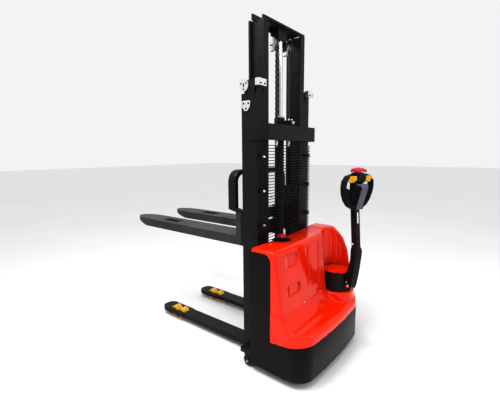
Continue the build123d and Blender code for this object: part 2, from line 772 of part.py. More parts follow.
def side_panel():
    """Left black side panel, with its round upper rear corner."""
    y0 = BODY_HALF_WIDTH - SKIN
    face = block(PANEL_REAR, BODY_FRONT + BULKHEAD_T, y0, BODY_HALF_WIDTH, PANEL_BOTTOM, PANEL_TOP)
    corner = face.edges().filter_by(Axis.Y).group_by(Axis.Z)[-1].group_by(Axis.X)[0]
    return fillet(corner, PANEL_CORNER_R)


def seat_profile(inset):
    """Side outline of the cover: upright back, crease and dished rear seat."""
    top = BODY_TOP - inset
    seat = SEAT_Z - inset
    crease_x = CREASE_X + inset
    back_top = BACK_TOP_X + inset
    front = BODY_FRONT if inset == 0 else BODY_FRONT + 1
    rear = BODY_REAR - 10
    edges = [
        Line((front, 100), (front, top)),
        Line((front, top), (back_top, top)),
        Line((back_top, top), (crease_x, CREASE_Z - inset)),
        Spline(
            (crease_x, CREASE_Z - inset),
            (crease_x - 35, seat + 45),
            (crease_x - 80, seat + 8),
            (crease_x - 120, seat),
        ),
        Line((crease_x - 120, seat), (rear, seat)),
        Line((rear, seat), (rear, 100)),
        Line((rear, 100), (front, 100)),
    ]
    face = make_face(edges)
    corner = face.vertices().sort_by_distance((back_top, top, 0))[0]
    face = fillet(corner, BACK_CORNER_R - inset)
    return Plane.XZ * face


def wing_profile(inset):
    """Side outline of the cover's right part, beside the tiller."""
    top = BODY_TOP - inset
    front = BODY_FRONT if inset == 0 else BODY_FRONT + 1
    rear = BODY_REAR - 10
    edges = [
        Line((front, 100), (front, top)),
        Line((front, top), (WING_TOP_X + 40, top)),
        Spline(
            (WING_TOP_X + 40, top),
            (WING_TOP_X - 18 + inset, top - 22),
            (WING_TOP_X - 74 + inset, top - 72),
            (WING_TOP_X - 108 + inset, top - 152),
            (WING_TOP_X - 126 + inset, top - 245),
            (WING_TOP_X - 134 + inset, ALCOVE_FLOOR - inset),
        ),
        Line((WING_TOP_X - 134 + inset, ALCOVE_FLOOR - inset), (BODY_REAR + 22, SEAT_Z - inset)),
        Line((BODY_REAR + 22, SEAT_Z - inset), (rear, SEAT_Z - inset)),
        Line((rear, SEAT_Z - inset), (rear, 100)),
        Line((rear, 100), (front, 100)),
    ]
    return Plane.XZ * make_face(edges)


def cover_volume(inset):
    """The solid volume of the cover, drawn in by inset on every outer face."""
    plan = extrude(Pos(0, 0, 100) * body_plan(SKIN + 1 + inset), amount=BODY_TOP, dir=(0, 0, 1))
    if inset:
        front_half = BODY_HALF_WIDTH - SKIN - 1 - inset
        plan += block(BODY_FRONT - 5, BODY_FRONT + 1, -front_half, front_half, 100, BODY_TOP)
    main = extrude(seat_profile(inset), amount=BODY_HALF_WIDTH, both=True)
    wing_left = STEER_Y + ALCOVE_R - inset
    wing = extrude(wing_profile(inset), amount=BODY_HALF_WIDTH, both=True)
    wing = wing & block(-500, 50, -500, wing_left, 0, 900)
    pedestal = rod_z(STEER_X, STEER_Y, 150, ALCOVE_FLOOR - inset, ALCOVE_R + 3 - inset)
    volume = (main + wing + pedestal) & plan
    niche_r = ALCOVE_R + inset
    niche_z = ALCOVE_FLOOR - inset
    volume -= rod_z(STEER_X, STEER_Y, niche_z, 900, niche_r)
    volume -= block(-500, STEER_X, STEER_Y - niche_r, STEER_Y + niche_r, niche_z, 900)
    return volume


def top_cover():
    """Glossy upper cover: a thin moulded shell, with the tiller's alcove and two holes."""
    shell = cover_volume(0) - cover_volume(COVER_T)
    shell -= seam_cutter(SLIP)
    shell -= rod_z(STOP_X, STOP_Y, BODY_TOP - 30, BODY_TOP + 5, STOP_SHAFT_R + GAP)
    shell -= rod_z(STEER_X, STEER_Y, ALCOVE_FLOOR - 30, ALCOVE_FLOOR + 5, MOTOR_R + 4)
    return shell


def chassis_base():
    """Floor plate, front bulkhead, mast pads, steering head plate and caster blocks."""
    front = BODY_FRONT
    back_face = front + BULKHEAD_T
    half = BODY_HALF_WIDTH - SKIN
    floor = extrude(Pos(0, 0, GROUND_GAP) * body_plan(SKIN + 2), amount=FLOOR_T, dir=(0, 0, 1))
    floor -= rod_z(STEER_X, STEER_Y, 0, 100, BEARING_R + 9)
    base = floor + block(front, back_face, -half, half, GROUND_GAP, BULKHEAD_TOP)
    hose_half = 16.0
    floor_top = GROUND_GAP + FLOOR_T
    base -= block(front - 1, back_face + 1, -hose_half, hose_half, floor_top, FOOT_TOP + 30)
    for side in (-1, 1):
        y0 = min(side * (CASTER_Y - 64), side * (CASTER_Y + 64))
        y1 = max(side * (CASTER_Y - 64), side * (CASTER_Y + 64))
        base -= block(front - 30, back_face + 1, y0, y1, 0, CASTER_FORK_TOP + 2)
        pad0 = min(side * 240, side * (OUTER_FACE - 2))
        pad1 = max(side * 240, side * (OUTER_FACE - 2))
        base += block(back_face, 0, pad0, pad1, CASTER_FORK_TOP + 10, PAD_TOP)
        cap0 = min(side * (OUTER_FACE + 6), side * (BODY_HALF_WIDTH - 2))
        cap1 = max(side * (OUTER_FACE + 6), side * (BODY_HALF_WIDTH - 2))
        block_x1 = CASTER_X + 26
        caster = block(back_face, block_x1, cap0, cap1, CASTER_FORK_TOP + 2, CASTER_BLOCK_TOP)
        bore_top = CASTER_BLOCK_TOP - 4
        caster -= rod_z(CASTER_X, side * CASTER_Y, CASTER_FORK_TOP, bore_top, CASTER_STEM_R + RUN)
        base += caster
    plate_top = HEAD_PLATE_Z + HEAD_PLATE_T
    plate_half = BEARING_R + 8
    right = STEER_Y - plate_half
    left = STEER_Y + plate_half
    head = block(STEER_X - plate_half, front, right, left, HEAD_PLATE_Z, plate_top)
    head = head & extrude(body_plan(SKIN + COVER_T + 4), amount=BODY_TOP, dir=(0, 0, 1))
    head -= rod_z(STEER_X, STEER_Y, HEAD_PLATE_Z - 1, plate_top + 1, BEARING_BORE)
    web = block(STEER_X + plate_half - 2, front, STEER_Y - 6, STEER_Y + 6, GROUND_GAP, HEAD_PLATE_Z)
    return base + head + web


# ---------------------------------------------------------------- things inside the body
def batteries():
    """Two batteries side by side on the floor plate."""
    z0 = GROUND_GAP + FLOOR_T
    cases = []
    top = z0 + BATTERY_HEIGHT
    rear = BATTERY_FRONT - BATTERY_LENGTH
    for y0 in BATTERY_RIGHT_FACES:
        case = block(rear, BATTERY_FRONT, y0, y0 + BATTERY_WIDTH, z0, top)
        for post_x in (rear + BATTERY_POST_INSET, BATTERY_FRONT - BATTERY_POST_INSET):
            case += rod_z(post_x, y0 + BATTERY_POST_INSET, top, top + BATTERY_POST_H, BATTERY_POST_R)
        cases.append(case)
    return group(*cases)


def pump_motor():
    """Hydraulic pump with its electric motor, lying across the truck."""
    floor_top = GROUND_GAP + FLOOR_T
    z = floor_top + PUMP_AXIS_RISE
    y0, y1 = PUMP_MOTOR_Y
    motor = rod_y(PUMP_X, y0, y1, z, PUMP_MOTOR_R)
    motor += rod_y(PUMP_X, y1, PUMP_BODY_END, z, PUMP_BODY_R)
    motor += block(PUMP_X - PUMP_FOOT_HALF, PUMP_X + PUMP_FOOT_HALF, y0, 0, floor_top, z)
    return motor


def hydraulic_tank():
    """Oil tank beside the pump."""
    z0 = GROUND_GAP + FLOOR_T
    top = z0 + TANK_HEIGHT
    tank = block(*TANK_X, *TANK_Y, z0, top)
    return tank + rod_z(sum(TANK_X) / 2, sum(TANK_Y) / 2, top, top + TANK_CAP_H, TANK_CAP_R)


def hydraulic_hose():
    """Pressure hose from the pump block to the port at the cylinder's foot."""
    z_port = FOOT_TOP + 10
    start = (-70, 4, GROUND_GAP + FLOOR_T + 50)
    route = FilletPolyline(
        start,
        (-70, 34, GROUND_GAP + FLOOR_T + 50),
        (-70, 34, z_port),
        (-46, 0, z_port),
        (CYL_X - CYL_R - 10, 0, z_port),
        radius=9,
    )
    return sweep(Plane(start, z_dir=(0, 1, 0)) * Circle(6), path=route)


def motor_controller():
    """Motor controller with cooling fins, on the bulkhead."""
    x1 = BODY_FRONT
    box = block(x1 - 34, x1, -130, 60, 440, 600)
    for y in range(-120, 60, 18):
        box += block(x1 - 46, x1 - 34, y, y + 5, 445, 595)
    return box


# ---------------------------------------------------------------- emergency stop
def stop_base():
    """Body and collar of the emergency stop, clamped in the cover's top."""
    base = rod_z(STOP_X, STOP_Y, BODY_TOP - 50, BODY_TOP + 12, STOP_SHAFT_R)
    base += rod_z(STOP_X, STOP_Y, BODY_TOP, BODY_TOP + 3, STOP_FLANGE_R)
    base -= rod_z(STOP_X, STOP_Y, BODY_TOP - 30, BODY_TOP + 13, STOP_STEM_R + RUN)
    return base


def stop_head():
    """Mushroom head on its stem."""
    z0 = BODY_TOP + 12 + STOP_TRAVEL + 1
    head = rod_z(STOP_X, STOP_Y, z0, z0 + 18, STOP_R)
    top_edge = head.edges().group_by(Axis.Z)[-1]
    head = fillet(top_edge, 7)
    return head + rod_z(STOP_X, STOP_Y, BODY_TOP - 18, z0, STOP_STEM_R)


# ---------------------------------------------------------------- casters
def caster_fork(side):
    """Swivel fork with its stem, trailing backwards."""
    y = side * CASTER_Y
    wheel_x = CASTER_X - CASTER_TRAIL
    top = CASTER_FORK_TOP
    fork_body = rod_z(CASTER_X, y, top - 8, top, 20)
    fork_body += block(wheel_x - 6, CASTER_X, y - 21, y + 21, top - 8, top)
    fork_body += rod_z(CASTER_X, y, top, CASTER_BLOCK_TOP - 6, CASTER_STEM_R)
    inner = CASTER_W / 2 + SLIP
    for direction in (-1, 1):
        y0 = min(y + direction * inner, y + direction * (inner + CASTER_CHEEK))
        cheek = [
            (wheel_x - 8, CASTER_R - 8),
            (wheel_x + 8, CASTER_R - 8),
            (CASTER_X + 12, top),
            (wheel_x - 10, top),
        ]
        fork_body += prism_y(cheek, y0, y0 + CASTER_CHEEK)
    reach = inner + CASTER_CHEEK
    fork_body += rod_y(wheel_x, y - reach, y + reach, CASTER_R, CASTER_AXLE_R)
    return fork_body


def caster_wheel(side):
    """Caster wheel with a rounded tread."""
    y = side * CASTER_Y
    x = CASTER_X - CASTER_TRAIL
    wheel = rod_y(x, y - CASTER_W / 2, y + CASTER_W / 2, CASTER_R, CASTER_R)
    wheel = fillet(wheel.edges(), 4)
    return wheel - rod_y(x, y - CASTER_W, y + CASTER_W, CASTER_R, CASTER_AXLE_R + RUN)


# ---------------------------------------------------------------- steering and drive
def steering_bearing():
    """Fixed ring that the drive unit turns on."""
    z0 = HEAD_PLATE_Z + HEAD_PLATE_T
    ring = rod_z(STEER_X, STEER_Y, z0, z0 + BEARING_H, BEARING_R)
    return ring - rod_z(STEER_X, STEER_Y, z0 - 1, z0 + BEARING_H + 1, BEARING_BORE)


def drive_wheel():
    """Driven wheel, drawn square to the truck under the steering axis."""
    wheel = rod_y(0, -WHEEL_W / 2, WHEEL_W / 2, WHEEL_R, WHEEL_R)
    wheel = fillet(wheel.edges(), 6)
    wheel -= rod_y(0, -WHEEL_W, WHEEL_W, WHEEL_R, WHEEL_AXLE_R + RUN)
    for side in (-1, 1):
        y0 = min(side * WHEEL_W / 2, side * (WHEEL_W / 2 - 12))
        y1 = max(side * WHEEL_W / 2, side * (WHEEL_W / 2 - 12))
        wheel -= ring_y(0, y0, y1, WHEEL_R, WHEEL_R - 22, 40)
    return steer(wheel)


def drive_gearbox():
    """Gearbox beside the wheel, with the wheel's axle and the neck under the motor."""
    y0 = WHEEL_W / 2 + SLIP
    case = rod_y(0, y0, y0 + 26, WHEEL_R, 62)
    case += block(-48, 48, y0, y0 + 26, WHEEL_R, HEAD_PLATE_Z - 8)
    case += rod_z(0, 0, 2 * WHEEL_R + 3, HEAD_PLATE_Z + HEAD_PLATE_T + BEARING_H, 60)
    case += block(-48, 48, 0, y0 + 26, 2 * WHEEL_R + 3, HEAD_PLATE_Z - 3)
    case += rod_y(0, -WHEEL_W / 2, y0, WHEEL_R, WHEEL_AXLE_R)
    return steer(case)


def drive_motor():
    """Vertical drive motor with the flange that lies on the bearing."""
    z0 = HEAD_PLATE_Z + HEAD_PLATE_T + BEARING_H
    motor = rod_z(0, 0, z0, MOTOR_TOP + 2, MOTOR_R)
    flange = rod_z(0, 0, z0 + 0.3, z0 + 9, BEARING_R - 2)
    return steer(motor + flange)


def steering_drum():
    """Drum that turns with the tiller, with the lug that the tiller hinges on."""
    drum = rod_z(0, 0, MOTOR_TOP + 2, DRUM_TOP, DRUM_R)
    top_edge = drum.edges().group_by(Axis.Z)[-1]
    drum = fillet(top_edge, 5)
    lug = [
        (DRUM_R - 20, PIVOT_Z - 18),
        (PIVOT_A, PIVOT_Z - 18),
        (PIVOT_A, PIVOT_Z + 18),
        (DRUM_R - 20, PIVOT_Z + 40),
    ]
    drum += tiller_prism(lug, LUG_HALF)
    drum += rod_y(-PIVOT_A, -LUG_HALF, LUG_HALF, PIVOT_Z, 18)
    drum -= rod_y(-PIVOT_A, -LUG_HALF - 1, LUG_HALF + 1, PIVOT_Z, PIVOT_R + RUN)
    return steer(drum)


# ---------------------------------------------------------------- tiller
def tube_outline():
    """Outline of the tiller tube in the tiller's plane, leaning slightly forward at the top."""
    half = TUBE_DEPTH / 2
    return [
        (TUBE_LOW_A - half, TUBE_LOW_Z),
        (TUBE_LOW_A + half, TUBE_LOW_Z),
        (TUBE_TOP_A + half, TUBE_TOP_Z),
        (TUBE_TOP_A - half, TUBE_TOP_Z),
    ]


def tiller_boot():
    """Bent lower housing of the tiller: two cheeks round the lug, closed at the back."""
    outline = [
        (PIVOT_A - BOOT_END_R + 4, PIVOT_Z),
        (PIVOT_A + BOOT_END_R - 2, PIVOT_Z),
        (PIVOT_A + 38, 488),
        (PIVOT_A + 52, 560),
        (PIVOT_A + 57, 640),
        (PIVOT_A + 57, 680),
        (PIVOT_A + 10, BOOT_TOP),
        (PIVOT_A + 10, 600),
        (PIVOT_A - 8, 540),
        (PIVOT_A - 22, 490),
    ]
    boot = tiller_prism(outline, BOOT_HALF)
    boot += rod_y(-PIVOT_A, -BOOT_HALF, BOOT_HALF, PIVOT_Z, BOOT_END_R)
    room = [
        (PIVOT_A - 60, PIVOT_Z - 60),
        (PIVOT_A + BOOT_END_R - 7, PIVOT_Z - 60),
        (PIVOT_A + BOOT_END_R - 7, PIVOT_Z + 6),
        (PIVOT_A + 31, 490),
        (PIVOT_A + 45, 560),
        (PIVOT_A + 48, 620),
        (PIVOT_A - 60, 620),
    ]
    boot -= tiller_prism(room, LUG_HALF + SLIP)
    boot -= tiller_prism(tube_outline(), TUBE_HALF)
    boot -= rod_y(-PIVOT_A, -BOOT_HALF - 1, BOOT_HALF + 1, PIVOT_Z, PIVOT_R)
    return steer(boot)


def tiller_tube():
    """Rectangular tube between boot and head."""
    return steer(tiller_prism(tube_outline(), TUBE_HALF))


def tiller_pivot_pin():
    """Headed pin through boot and lug."""
    pin = rod_y(-PIVOT_A, -BOOT_HALF, BOOT_HALF, PIVOT_Z, PIVOT_R)
    for side in (-1, 1):
        pin += rod_y(-PIVOT_A, side * BOOT_HALF, side * (BOOT_HALF + 5), PIVOT_Z, 12)
    return steer(pin)


def loop_face(half, low, high, corner):
    """Outline of the two handle loops together, seen along the tiller: width, bottom and top."""
    shape = RectangleRounded(2 * half, high - low, corner)
    return Pos(0, (low + high) / 2) * shape


def tiller_head():
    """Moulded head: central body and a closed handle loop on each side."""
    outline = [
        (HEAD_FRONT, TUBE_TOP_Z),
        (HEAD_MID_A, TUBE_TOP_Z),
        (HEAD_MID_A, WEDGE_TOP + 1),
        (HEAD_REAR, WEDGE_TOP + 13),
        (HEAD_REAR, HEAD_TOP),
        (HEAD_FRONT + 5, HEAD_TOP),
    ]
    body = tiller_prism(outline, HEAD_HALF)
    loops = loop_face(LOOP_HALF, LOOP_BOTTOM, LOOP_TOP, 62)
    holes = loop_face(LOOP_HALF - LOOP_BAR, LOOP_BOTTOM + 34, LOOP_TOP - LOOP_BAR, 42)
    holes -= Pos(0, (LOOP_BOTTOM + LOOP_TOP) / 2) * Rectangle(2 * HEAD_HALF, 400)
    frame = Plane.YZ * (loops - holes)
    loop_back = LOOP_FRONT + LOOP_T
    loop_body = Pos(-loop_back, 0, 0) * extrude(frame, amount=LOOP_T, dir=(1, 0, 0))
    loop_body -= block(-400, -HEAD_MID_A + 0.5, -WEDGE_HALF, WEDGE_HALF, 900, 1200)
    head = body + loop_body
    head -= rod_y(-THROTTLE_A, -HEAD_HALF - 1, HEAD_HALF + 1, THROTTLE_Z, THROTTLE_AXLE_R + RUN)
    cap_a = (HEAD_FRONT + HEAD_REAR) / 2
    head -= rod_z(-cap_a, 0, HEAD_TOP - 24, HEAD_TOP + 1, CAP_STEM_R + RUN)
    head -= rod_x(-HEAD_FRONT - 12, -HEAD_FRONT + 1, 18, 1088, 9 + RUN)
    pocket = (-HEAD_FRONT - 16, -HEAD_FRONT + 1, -29, -7, 1066, 1110)
    head -= block(*pocket)
    head -= rod_y(-HEAD_FRONT - 10, -34, -2, 1088, 2 + RUN)
    return steer(head)


def head_wedge():
    """Slate-coloured wedge on the operator's side of the head."""
    outline = [
        (HEAD_MID_A, TUBE_TOP_Z),
        (HEAD_MID_A + 11, TUBE_TOP_Z - 2),
        (HEAD_MID_A + 55, WEDGE_TOP - 24),
        (HEAD_MID_A + 47, WEDGE_TOP - 2),
        (HEAD_MID_A, WEDGE_TOP),
    ]
    return steer(tiller_prism(outline, WEDGE_HALF))


def throttle_paddles():
    """Butterfly throttle: one axle through the head with a paddle at each end."""
    paddle = rod_y(-THROTTLE_A, -PADDLE_OUT + 20, PADDLE_OUT - 20, THROTTLE_Z, THROTTLE_AXLE_R)
    for side in (-1, 1):
        y0 = min(side * PADDLE_IN, side * PADDLE_OUT)
        y1 = max(side * PADDLE_IN, side * PADDLE_OUT)
        half_t = PADDLE_T / 2
        low = THROTTLE_Z - PADDLE_H / 2
        blade = block(-THROTTLE_A - half_t, -THROTTLE_A + half_t, y0, y1, low, low + PADDLE_H)
        blade = fillet(blade.edges().filter_by(Axis.X), 12)
        paddle += blade
        hub_y1 = side * (PADDLE_IN + 12)
        paddle += rod_y(-THROTTLE_A, side * PADDLE_IN, hub_y1, THROTTLE_Z, 11)
    return steer(paddle)


def reverse_button():
    """Curved red safety button over the end of the head, on a guide stem."""
    z0 = HEAD_TOP + CAP_TRAVEL + 2
    front = -HEAD_FRONT - 6
    back = -HEAD_REAR - 6
    middle = (front + back) / 2
    edges = [
        Line((front, z0), (front, z0 + 18)),
        ThreePointArc((front, z0 + 18), (middle, z0 + 40), (back, z0 + 4)),
        Line((back, z0 + 4), (back, z0)),
        Line((back, z0), (front, z0)),
    ]
    face = Plane.XZ * make_face(edges)
    cap = extrude(face, amount=CAP_HALF, both=True)
    cap_a = (HEAD_FRONT + HEAD_REAR) / 2
    return steer(cap + rod_z(-cap_a, 0, HEAD_TOP - 14, z0, CAP_STEM_R))


def lift_rocker():
    """Raise and lower rocker on the truck side of the head."""
    rocker = block(-HEAD_FRONT - 9, -HEAD_FRONT + 4, -27, -9, 1072, 1104)
    rocker += rod_y(-HEAD_FRONT - 10, -33, -3, 1088, 2)
    return steer(rocker)


def horn_button():
    """Horn button on the truck side of the head."""
    return steer(rod_x(-HEAD_FRONT - 8, -HEAD_FRONT + 5, 18, 1088, 9))


# ---------------------------------------------------------------- all nodes
def build_parts():
    """Fills the dictionary of nodes."""
    web_in = COLUMN_WEB_OUT - COLUMN_WEB
    parts["outer_mast_rails"] = both_sides(outer_rail())
    parts["mast_cross_plate"] = cross_plate()
    parts["mast_foot_beam"] = foot_beam()
    parts["mast_adjusters"] = both_sides(adjusters())
    parts["mast_rollers_upper"] = both_sides(
        guide_roller(COLUMN_WEB_OUT + 2, COLUMN_WEB_OUT + 2 + UPPER_GUIDE_W, UPPER_GUIDE_Z)
    )
    parts["inner_mast_rails"] = both_sides(inner_rail())
    parts["inner_mast_plates"] = inner_plates()
    lower_y1 = OUTER_FACE - RAIL_WEB - 2 * SLIP
    parts["mast_rollers_lower"] = both_sides(
        guide_roller(lower_y1 - LOWER_GUIDE_W, lower_y1, LOWER_GUIDE_Z)
    )
    parts["cylinder_tube"] = cylinder_tube()
    parts["cylinder_gland"] = cylinder_gland()
    parts["piston_rod"] = piston_rod()
    parts["rod_head"] = rod_head()
    parts["chain_sheaves"] = both_sides(sheave())
    chain_offset = SHEAVE_ROOT_R + CHAIN_T / 2
    parts["rear_chains"] = both_sides(chain_strand(SHEAVE_X - chain_offset, ANCHOR_Z))
    beam_top = CARRIAGE_BOTTOM + ANCHOR_BEAM_H
    parts["front_chains"] = both_sides(chain_strand(SHEAVE_X + chain_offset, beam_top))
    parts["chain_anchor_bracket"] = anchor_bracket()
    parts["chain_anchor_bolts"] = both_sides(anchor_bolt())
    parts["guard_mesh"] = guard_mesh()
    parts["guard_brackets"] = guard_brackets()
    parts["carriage_frame"] = carriage_frame()
    roller_y1 = web_in - 2 * SLIP
    for name, z in (("upper", carriage_roller_high()), ("lower", carriage_roller_low())):
        parts["carriage_rollers_" + name] = both_sides(
            guide_roller(roller_y1 - CARRIAGE_GUIDE_W, roller_y1, z)
        )
    parts["fork_left"] = fork()
    parts["fork_right"] = other_side(parts["fork_left"])
    parts["backrest"] = backrest()
    parts["support_legs"] = both_sides(leg())
    parts["load_roller_axles"] = load_roller_axles()
    for side_name, side in (("left", 1), ("right", -1)):
        rear_x = ROLLER_FRONT_X - ROLLER_PITCH
        for end_name, x in (("front", ROLLER_FRONT_X), ("rear", rear_x)):
            parts["load_roller_" + side_name + "_" + end_name] = load_roller(x, side)
        parts["caster_fork_" + side_name] = caster_fork(side)
        parts["caster_wheel_" + side_name] = caster_wheel(side)
    parts["chassis_base"] = chassis_base()
    parts["lower_skirt"] = lower_skirt()
    parts["side_panels"] = both_sides(side_panel())
    parts["top_cover"] = top_cover()
    parts["batteries"] = batteries()
    parts["pump_motor"] = pump_motor()
    parts["hydraulic_tank"] = hydraulic_tank()
    parts["hydraulic_hose"] = hydraulic_hose()
    parts["motor_controller"] = motor_controller()
    parts["emergency_stop_base"] = stop_base()
    parts["emergency_stop_head"] = stop_head()
    parts["steering_bearing"] = steering_bearing()
    parts["drive_wheel"] = drive_wheel()
    parts["drive_gearbox"] = drive_gearbox()
    parts["drive_motor"] = drive_motor()
    parts["steering_drum"] = steering_drum()
    parts["tiller_boot"] = tiller_boot()
    parts["tiller_tube"] = tiller_tube()
    parts["tiller_pivot_pin"] = tiller_pivot_pin()
    parts["tiller_head"] = tiller_head()
    parts["head_wedge"] = head_wedge()
    parts["throttle_paddles"] = throttle_paddles()
    parts["reverse_button"] = reverse_button()
    parts["lift_rocker"] = lift_rocker()
    parts["horn_button"] = horn_button()


def joint_points():
    """Places of the joints, in the working frame."""
    wheel_x = CASTER_X - CASTER_TRAIL
    front = -HEAD_FRONT - 10
    return {
        "tiller_pivot": steer_point(PIVOT_A, 0, PIVOT_Z),
        "throttle": steer_point(THROTTLE_A, 0, THROTTLE_Z),
        "rocker": steer_point(-front, 18, 1088),
        "steering": (STEER_X, STEER_Y, 0),
        "drive_wheel": (STEER_X, STEER_Y, WHEEL_R),
        "load_roller_front": (ROLLER_FRONT_X, LEG_Y, ROLLER_R),
        "load_roller_rear": (ROLLER_FRONT_X - ROLLER_PITCH, LEG_Y, ROLLER_R),
        "caster_swivel": (CASTER_X, CASTER_Y, CASTER_FORK_TOP),
        "caster_wheel": (wheel_x, CASTER_Y, CASTER_R),
        "sheave": (SHEAVE_X, 0, SHEAVE_Z),
        "upper_guide": (RAIL_MID_X, 0, UPPER_GUIDE_Z),
        "lower_guide": (RAIL_MID_X, 0, LOWER_GUIDE_Z),
        "carriage_high": (RAIL_MID_X, 0, carriage_roller_high()),
        "carriage_low": (RAIL_MID_X, 0, carriage_roller_low()),
    }


build_parts()
boxes = [shape.bounding_box() for shape in parts.values()]
low_x = min(box.min.X for box in boxes)
low_y = min(box.min.Y for box in boxes)
low_z = min(box.min.Z for box in boxes)
middle_x = (low_x + max(box.max.X for box in boxes)) / 2
middle_y = (low_y + max(box.max.Y for box in boxes)) / 2
to_origin = Pos(-middle_x, -middle_y, -low_z)
os.makedirs("parts", exist_ok=True)
for node, shape in parts.items():
    export_step(to_origin * shape, "parts/" + node + ".step")
print("moved by", -middle_x, -middle_y, -low_z)
for joint, (x, y, z) in joint_points().items():
    print(joint, round(x - middle_x, 3), round(y - middle_y, 3), round(z - low_z, 3))
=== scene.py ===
"""Looks for the pedestrian stacker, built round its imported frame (Blender 4.5, metres)."""
import json
import math

import bmesh
import bpy
import numpy as np
from mathutils import Matrix, Vector

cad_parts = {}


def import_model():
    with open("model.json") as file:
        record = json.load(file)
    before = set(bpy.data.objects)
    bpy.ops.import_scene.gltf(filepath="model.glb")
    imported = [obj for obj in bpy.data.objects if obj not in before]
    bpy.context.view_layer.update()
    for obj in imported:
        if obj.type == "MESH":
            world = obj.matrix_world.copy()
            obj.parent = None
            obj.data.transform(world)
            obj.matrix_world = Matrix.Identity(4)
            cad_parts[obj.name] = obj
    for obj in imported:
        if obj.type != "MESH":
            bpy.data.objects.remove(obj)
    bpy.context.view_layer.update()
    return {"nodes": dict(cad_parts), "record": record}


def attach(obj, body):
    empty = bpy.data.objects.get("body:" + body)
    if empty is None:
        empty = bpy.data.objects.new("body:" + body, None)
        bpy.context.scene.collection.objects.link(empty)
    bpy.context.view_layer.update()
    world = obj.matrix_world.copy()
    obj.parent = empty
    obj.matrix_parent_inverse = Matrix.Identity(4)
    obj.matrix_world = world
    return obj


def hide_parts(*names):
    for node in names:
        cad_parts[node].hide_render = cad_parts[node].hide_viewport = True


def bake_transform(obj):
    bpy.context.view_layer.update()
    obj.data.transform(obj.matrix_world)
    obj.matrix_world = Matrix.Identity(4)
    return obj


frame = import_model()
NODES = frame["nodes"]

# Drawing frame: millimetres, X = 0 at the rear face of the outer mast.
SHIFT_X = -427.51654
MM = 0.001
STEER = (-262.0, -265.0)
TILLER_TURN = math.radians(-20.0)


def world(p):
    """A point of the drawing frame, in the row frame's metres."""
    return Vector(((p[0] + SHIFT_X) * MM, p[1] * MM, p[2] * MM))


def tiller_world(p):
    """A point of the tiller's own plane (behind, left, up), in the row frame's metres."""
    c, s = math.cos(TILLER_TURN), math.sin(TILLER_TURN)
    x, y = -p[0], p[1]
    return world((STEER[0] + x * c - y * s, STEER[1] + x * s + y * c, p[2]))


# ---------------------------------------------------------------- materials
def new_material(name):
    """An empty material with one Principled shader on its output."""
    m = bpy.data.materials.new(name)
    m.use_nodes = True
    nt = m.node_tree
    nt.nodes.clear()
    out = nt.nodes.new("ShaderNodeOutputMaterial")
    bsdf = nt.nodes.new("ShaderNodeBsdfPrincipled")
    nt.links.new(bsdf.outputs[0], out.inputs[0])
    return m, nt, bsdf


def noise(nt, scale, detail=3.0, rough=0.55, stretch=(1, 1, 1)):
    """Noise in the object's own coordinates."""
    coord = nt.nodes.new("ShaderNodeTexCoord")
    mapping = nt.nodes.new("ShaderNodeMapping")
    mapping.inputs["Scale"].default_value = stretch
    tex = nt.nodes.new("ShaderNodeTexNoise")
    tex.inputs["Scale"].default_value = scale
    tex.inputs["Detail"].default_value = detail
    tex.inputs["Roughness"].default_value = rough
    nt.links.new(coord.outputs["Object"], mapping.inputs["Vector"])
    nt.links.new(mapping.outputs[0], tex.inputs["Vector"])
    return tex.outputs[0]


def ramp(nt, value, stops):
    """Colours a value by (position, colour) stops."""
    node = nt.nodes.new("ShaderNodeValToRGB")
    cr = node.color_ramp
    while len(cr.elements) < len(stops):
        cr.elements.new(0.5)
    for element, (pos, col) in zip(cr.elements, stops):
        element.position = pos
        element.color = (*col, 1) if len(col) == 3 else col
    nt.links.new(value, node.inputs[0])
    return node.outputs[0]


def remap(nt, value, a, b, c, d):
    """Carries the range a to b over to c to d."""
    node = nt.nodes.new("ShaderNodeMapRange")
    for key, v in zip(("From Min", "From Max", "To Min", "To Max"), (a, b, c, d)):
        node.inputs[key].default_value = v
    nt.links.new(value, node.inputs["Value"])
    return node.outputs[0]


def bump(nt, bsdf, height, strength, distance, chain=None):
    """Adds a bump, on top of an earlier one if chain gives it."""
    node = nt.nodes.new("ShaderNodeBump")
    node.inputs["Strength"].default_value = strength
    node.inputs["Distance"].default_value = distance
    nt.links.new(height, node.inputs["Height"])
    if chain is not None:
        nt.links.new(chain, node.inputs["Normal"])
    nt.links.new(node.outputs[0], bsdf.inputs["Normal"])
    return node.outputs[0]


def mix_colour(nt, factor, a, b):
    """Goes from colour a to colour b by a factor."""
    node = nt.nodes.new("ShaderNodeMix")
    node.data_type = "RGBA"
    nt.links.new(factor, node.inputs["Factor"])
    for key, v in (("A", a), ("B", b)):
        socket = [i for i in node.inputs if i.name == key and i.type == "RGBA"][0]
        if isinstance(v, bpy.types.NodeSocket):
            nt.links.new(v, socket)
        else:
            socket.default_value = (*v, 1)
    return [o for o in node.outputs if o.type == "RGBA"][0]


